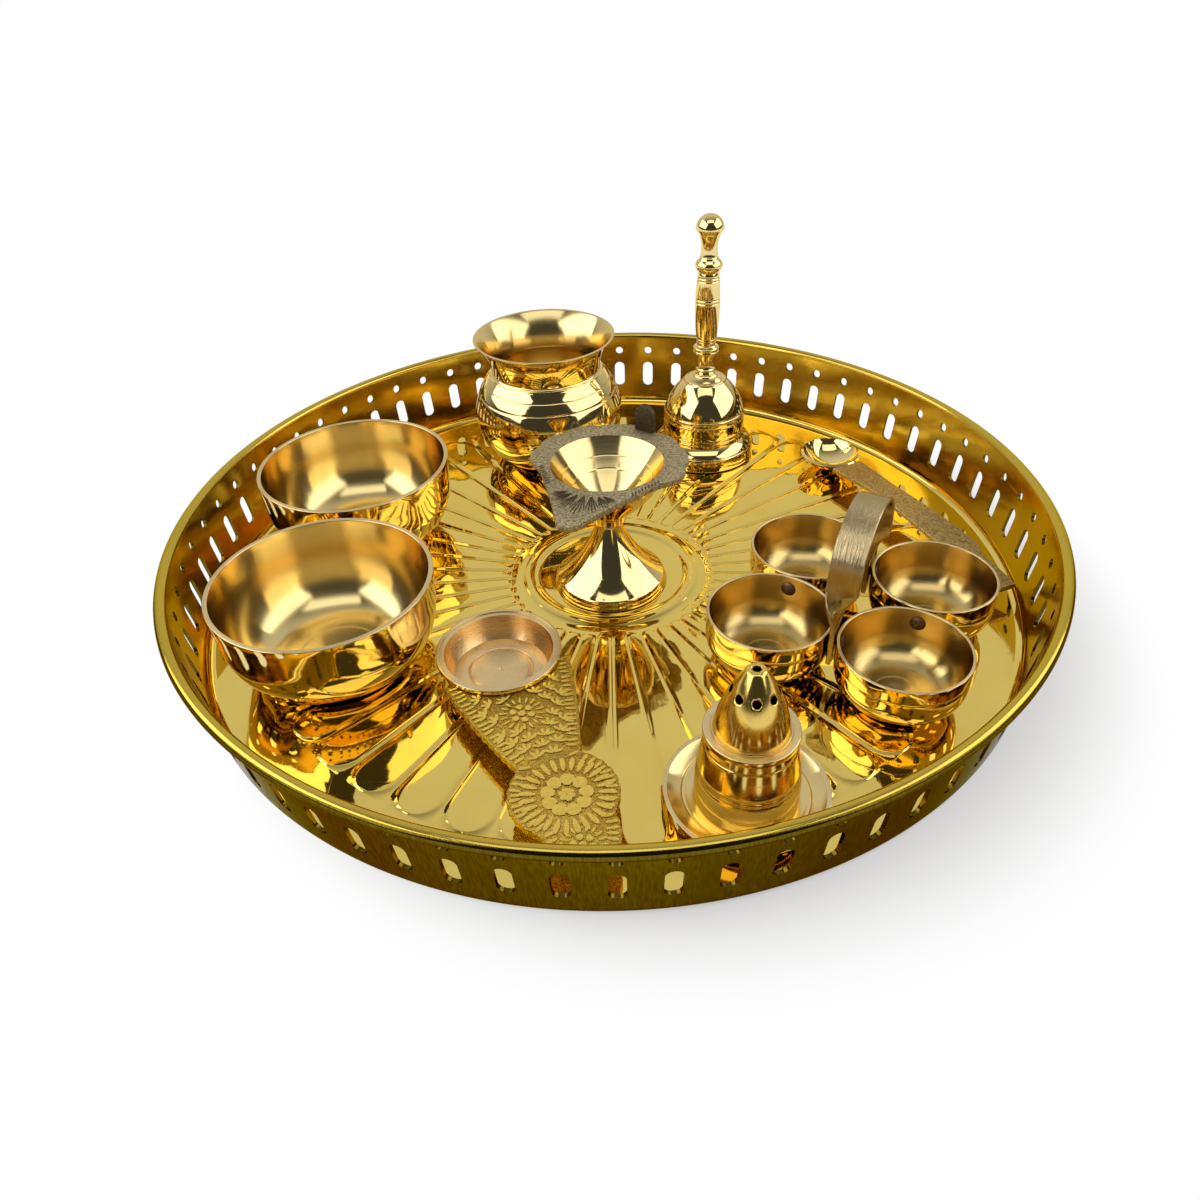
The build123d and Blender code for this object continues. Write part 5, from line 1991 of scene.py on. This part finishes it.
@dataclass(frozen=True)
class SoftBox:
    """One soft lamp that faces the tray, in metres and watts."""

    name: str
    place: Triple
    size: Pair
    power: float
    target: Triple = (0.0, 0.0, 0.03)

    def hang(self) -> None:
        """Hang the lamp."""
        lamp = bpy.data.lights.new(self.name, "AREA")
        lamp.shape = "RECTANGLE"
        lamp.size, lamp.size_y = self.size
        lamp.energy = self.power
        held = bpy.data.objects.new(self.name, lamp)
        held.location = self.place
        look = Vector(self.target) - Vector(self.place)
        held.rotation_euler = look.to_track_quat("-Z", "Y").to_euler()
        bpy.context.scene.collection.objects.link(held)


@dataclass
class Studio:
    """Plain pale floor, soft boxes either side of the camera, and the camera itself, in metres."""

    eye: Vector = vector_field(-0.0045, -0.2806, 0.2056)
    tilt: float = 37.78
    roll: float = -2.68
    focal_pixels: float = 923.85
    sensor: float = 36.0
    nearest: float = 0.01
    floor_size: float = 5.0
    floor_drop: float = 0.0002
    floor_grey: float = 0.88
    floor_roughness: float = 0.9
    shadow_reach: Pair = (0.128, 0.165)
    shadow_shift: Triple = (0.024, -0.012, 0.0)
    shadow_white: float = 0.4
    bright_side: Triple = (0.0, 0.85, 0.35)
    bright_from: float = 0.9
    room: Pair = (0.05, 0.72)
    boxes: tuple[SoftBox, ...] = (
        SoftBox("left_box", (-2.42, -0.47, 1.65), (4.0, 2.3), 66.0),
        SoftBox("right_box", (2.44, -0.47, 1.65), (3.9, 2.3), 53.0),
        SoftBox("top_box", (0.0, -0.93, 2.85), (2.6, 1.3), 15.0),
    )

    def build(self) -> None:
        """Lay the floor, light the room, hang the lamps and set the camera."""
        self._floor()
        self._world()
        for box in self.boxes:
            box.hang()
        self._camera()

    def _floor(self) -> None:
        """Lay a wide pale floor that shows white and keeps the shadow."""
        shape = bmesh.new()
        bmesh.ops.create_grid(shape, x_segments=4, y_segments=4, size=self.floor_size)
        bmesh.ops.translate(shape, vec=(0, 0, -self.floor_drop), verts=shape.verts)
        mesh = bpy.data.meshes.new("floor")
        shape.to_mesh(mesh)
        shape.free()
        floor = bpy.data.objects.new("floor", mesh)
        bpy.context.scene.collection.objects.link(floor)
        paper = bpy.data.materials.new("floor_paper")
        paper.use_nodes = True
        wires = Wiring(paper.node_tree)
        shader = paper.node_tree.nodes[SHADER]
        grey = (self.floor_grey, self.floor_grey, self.floor_grey, 1.0)
        matt = {"Roughness": self.floor_roughness, "Specular IOR Level": 0.0}
        wires.feed(shader, {"Base Color": grey} | matt)
        glow = wires.add("Emission", {"Strength": 1.0})["Emission"]
        layers = {"Fac": self._seen_white(wires), 1: shader.outputs["BSDF"], 2: glow}
        seen = wires.add("MixShader", layers)["Shader"]
        wires.feed(paper.node_tree.nodes["Material Output"], {"Surface": seen})
        mesh.materials.append(paper)

    def _seen_white(self, wires: Wiring) -> Socket:
        """Share of white that a ray sees on the floor from the camera, off metal or through glass.

        Args:
            wires: The floor's wiring.

        Returns:
            The share: part of it where the shadow falls, all of it further out.
        """
        place = wires.add("TexCoord", {})["Object"]
        middle = {0: place, 1: self.shadow_shift}
        away = wires.add("VectorMath", middle, operation="DISTANCE")["Value"]
        near, far = self.shadow_reach
        reach = {"Value": away, "From Min": near, "From Max": far, "To Min": self.shadow_white}
        share = wires.add("MapRange", reach, interpolation_type="SMOOTHSTEP")["Result"]
        path = wires.add("LightPath", {})
        direct = wires.maths("MAXIMUM", path["Is Camera Ray"], path["Is Glossy Ray"])
        any_of = wires.maths("MAXIMUM", direct, path["Is Transmission Ray"])
        return wires.maths("MULTIPLY", any_of, share)

    def _world(self) -> None:
        """Light the room: bright behind the tray, half that above it, dim behind the camera."""
        world = bpy.data.worlds.new("room")
        bpy.context.scene.world = world
        world.use_nodes = True
        wires = Wiring(world.node_tree)
        sides = {0: wires.add("TexCoord", {})["Generated"], 1: self.bright_side}
        slope = wires.add("VectorMath", sides, operation="DOT_PRODUCT")["Value"]
        dim, bright = self.room
        reach: Feeds = {"Value": slope, "From Min": 0.0, "From Max": self.bright_from}
        reach |= {"To Min": dim, "To Max": bright}
        room = wires.add("MapRange", reach, interpolation_type="SMOOTHSTEP")["Result"]
        seen = wires.add("LightPath", {})["Is Camera Ray"]
        strength = wires.add("Mix", {"Factor": seen, 2: room, 3: 1.0})[0]
        white = (1.0, 1.0, 1.0, 1.0)
        wires.feed(world.node_tree.nodes["Background"], {"Color": white, "Strength": strength})

    def _camera(self) -> None:
        """Set the camera where the photograph was taken from."""
        lens = bpy.data.cameras.new("camera")
        lens.sensor_width = self.sensor
        lens.lens = self.sensor * self.focal_pixels / PHOTO_WIDTH
        lens.clip_start = self.nearest
        held = bpy.data.objects.new("camera", lens)
        held.matrix_world = (
            Matrix.Translation(self.eye)
            @ Matrix.Rotation(math.radians(90 - self.tilt), 4, "X")
            @ Matrix.Rotation(math.radians(self.roll), 4, "Z")
        )
        bpy.context.scene.collection.objects.link(held)
        bpy.context.scene.camera = held
        bpy.context.scene.view_settings.view_transform = "Standard"


def main() -> None:
    """Build every piece of the set in order."""
    logging.basicConfig(level=logging.INFO, format="%(name)s: %(message)s")
    Studio().build()
    Tray().build()
    for name, x, y in (("katori_rear", -96.38, 34.01), ("katori_front", -93.34, -41.63)):
        Bowl(
            name, name, Vector((x, y, 2.1)), radius=36.0, height=32.0, base=19.0, shoulder=22.0,
            flare=0.8, wall=1.6, inner=VESSEL_TURNED,
        ).build()
    for item in (Kalash, Diya, Bell, Spoon, KumkumHolder, IncenseHolder, AartiBurner):
        item().build()


if __name__ == "__main__":
    main()
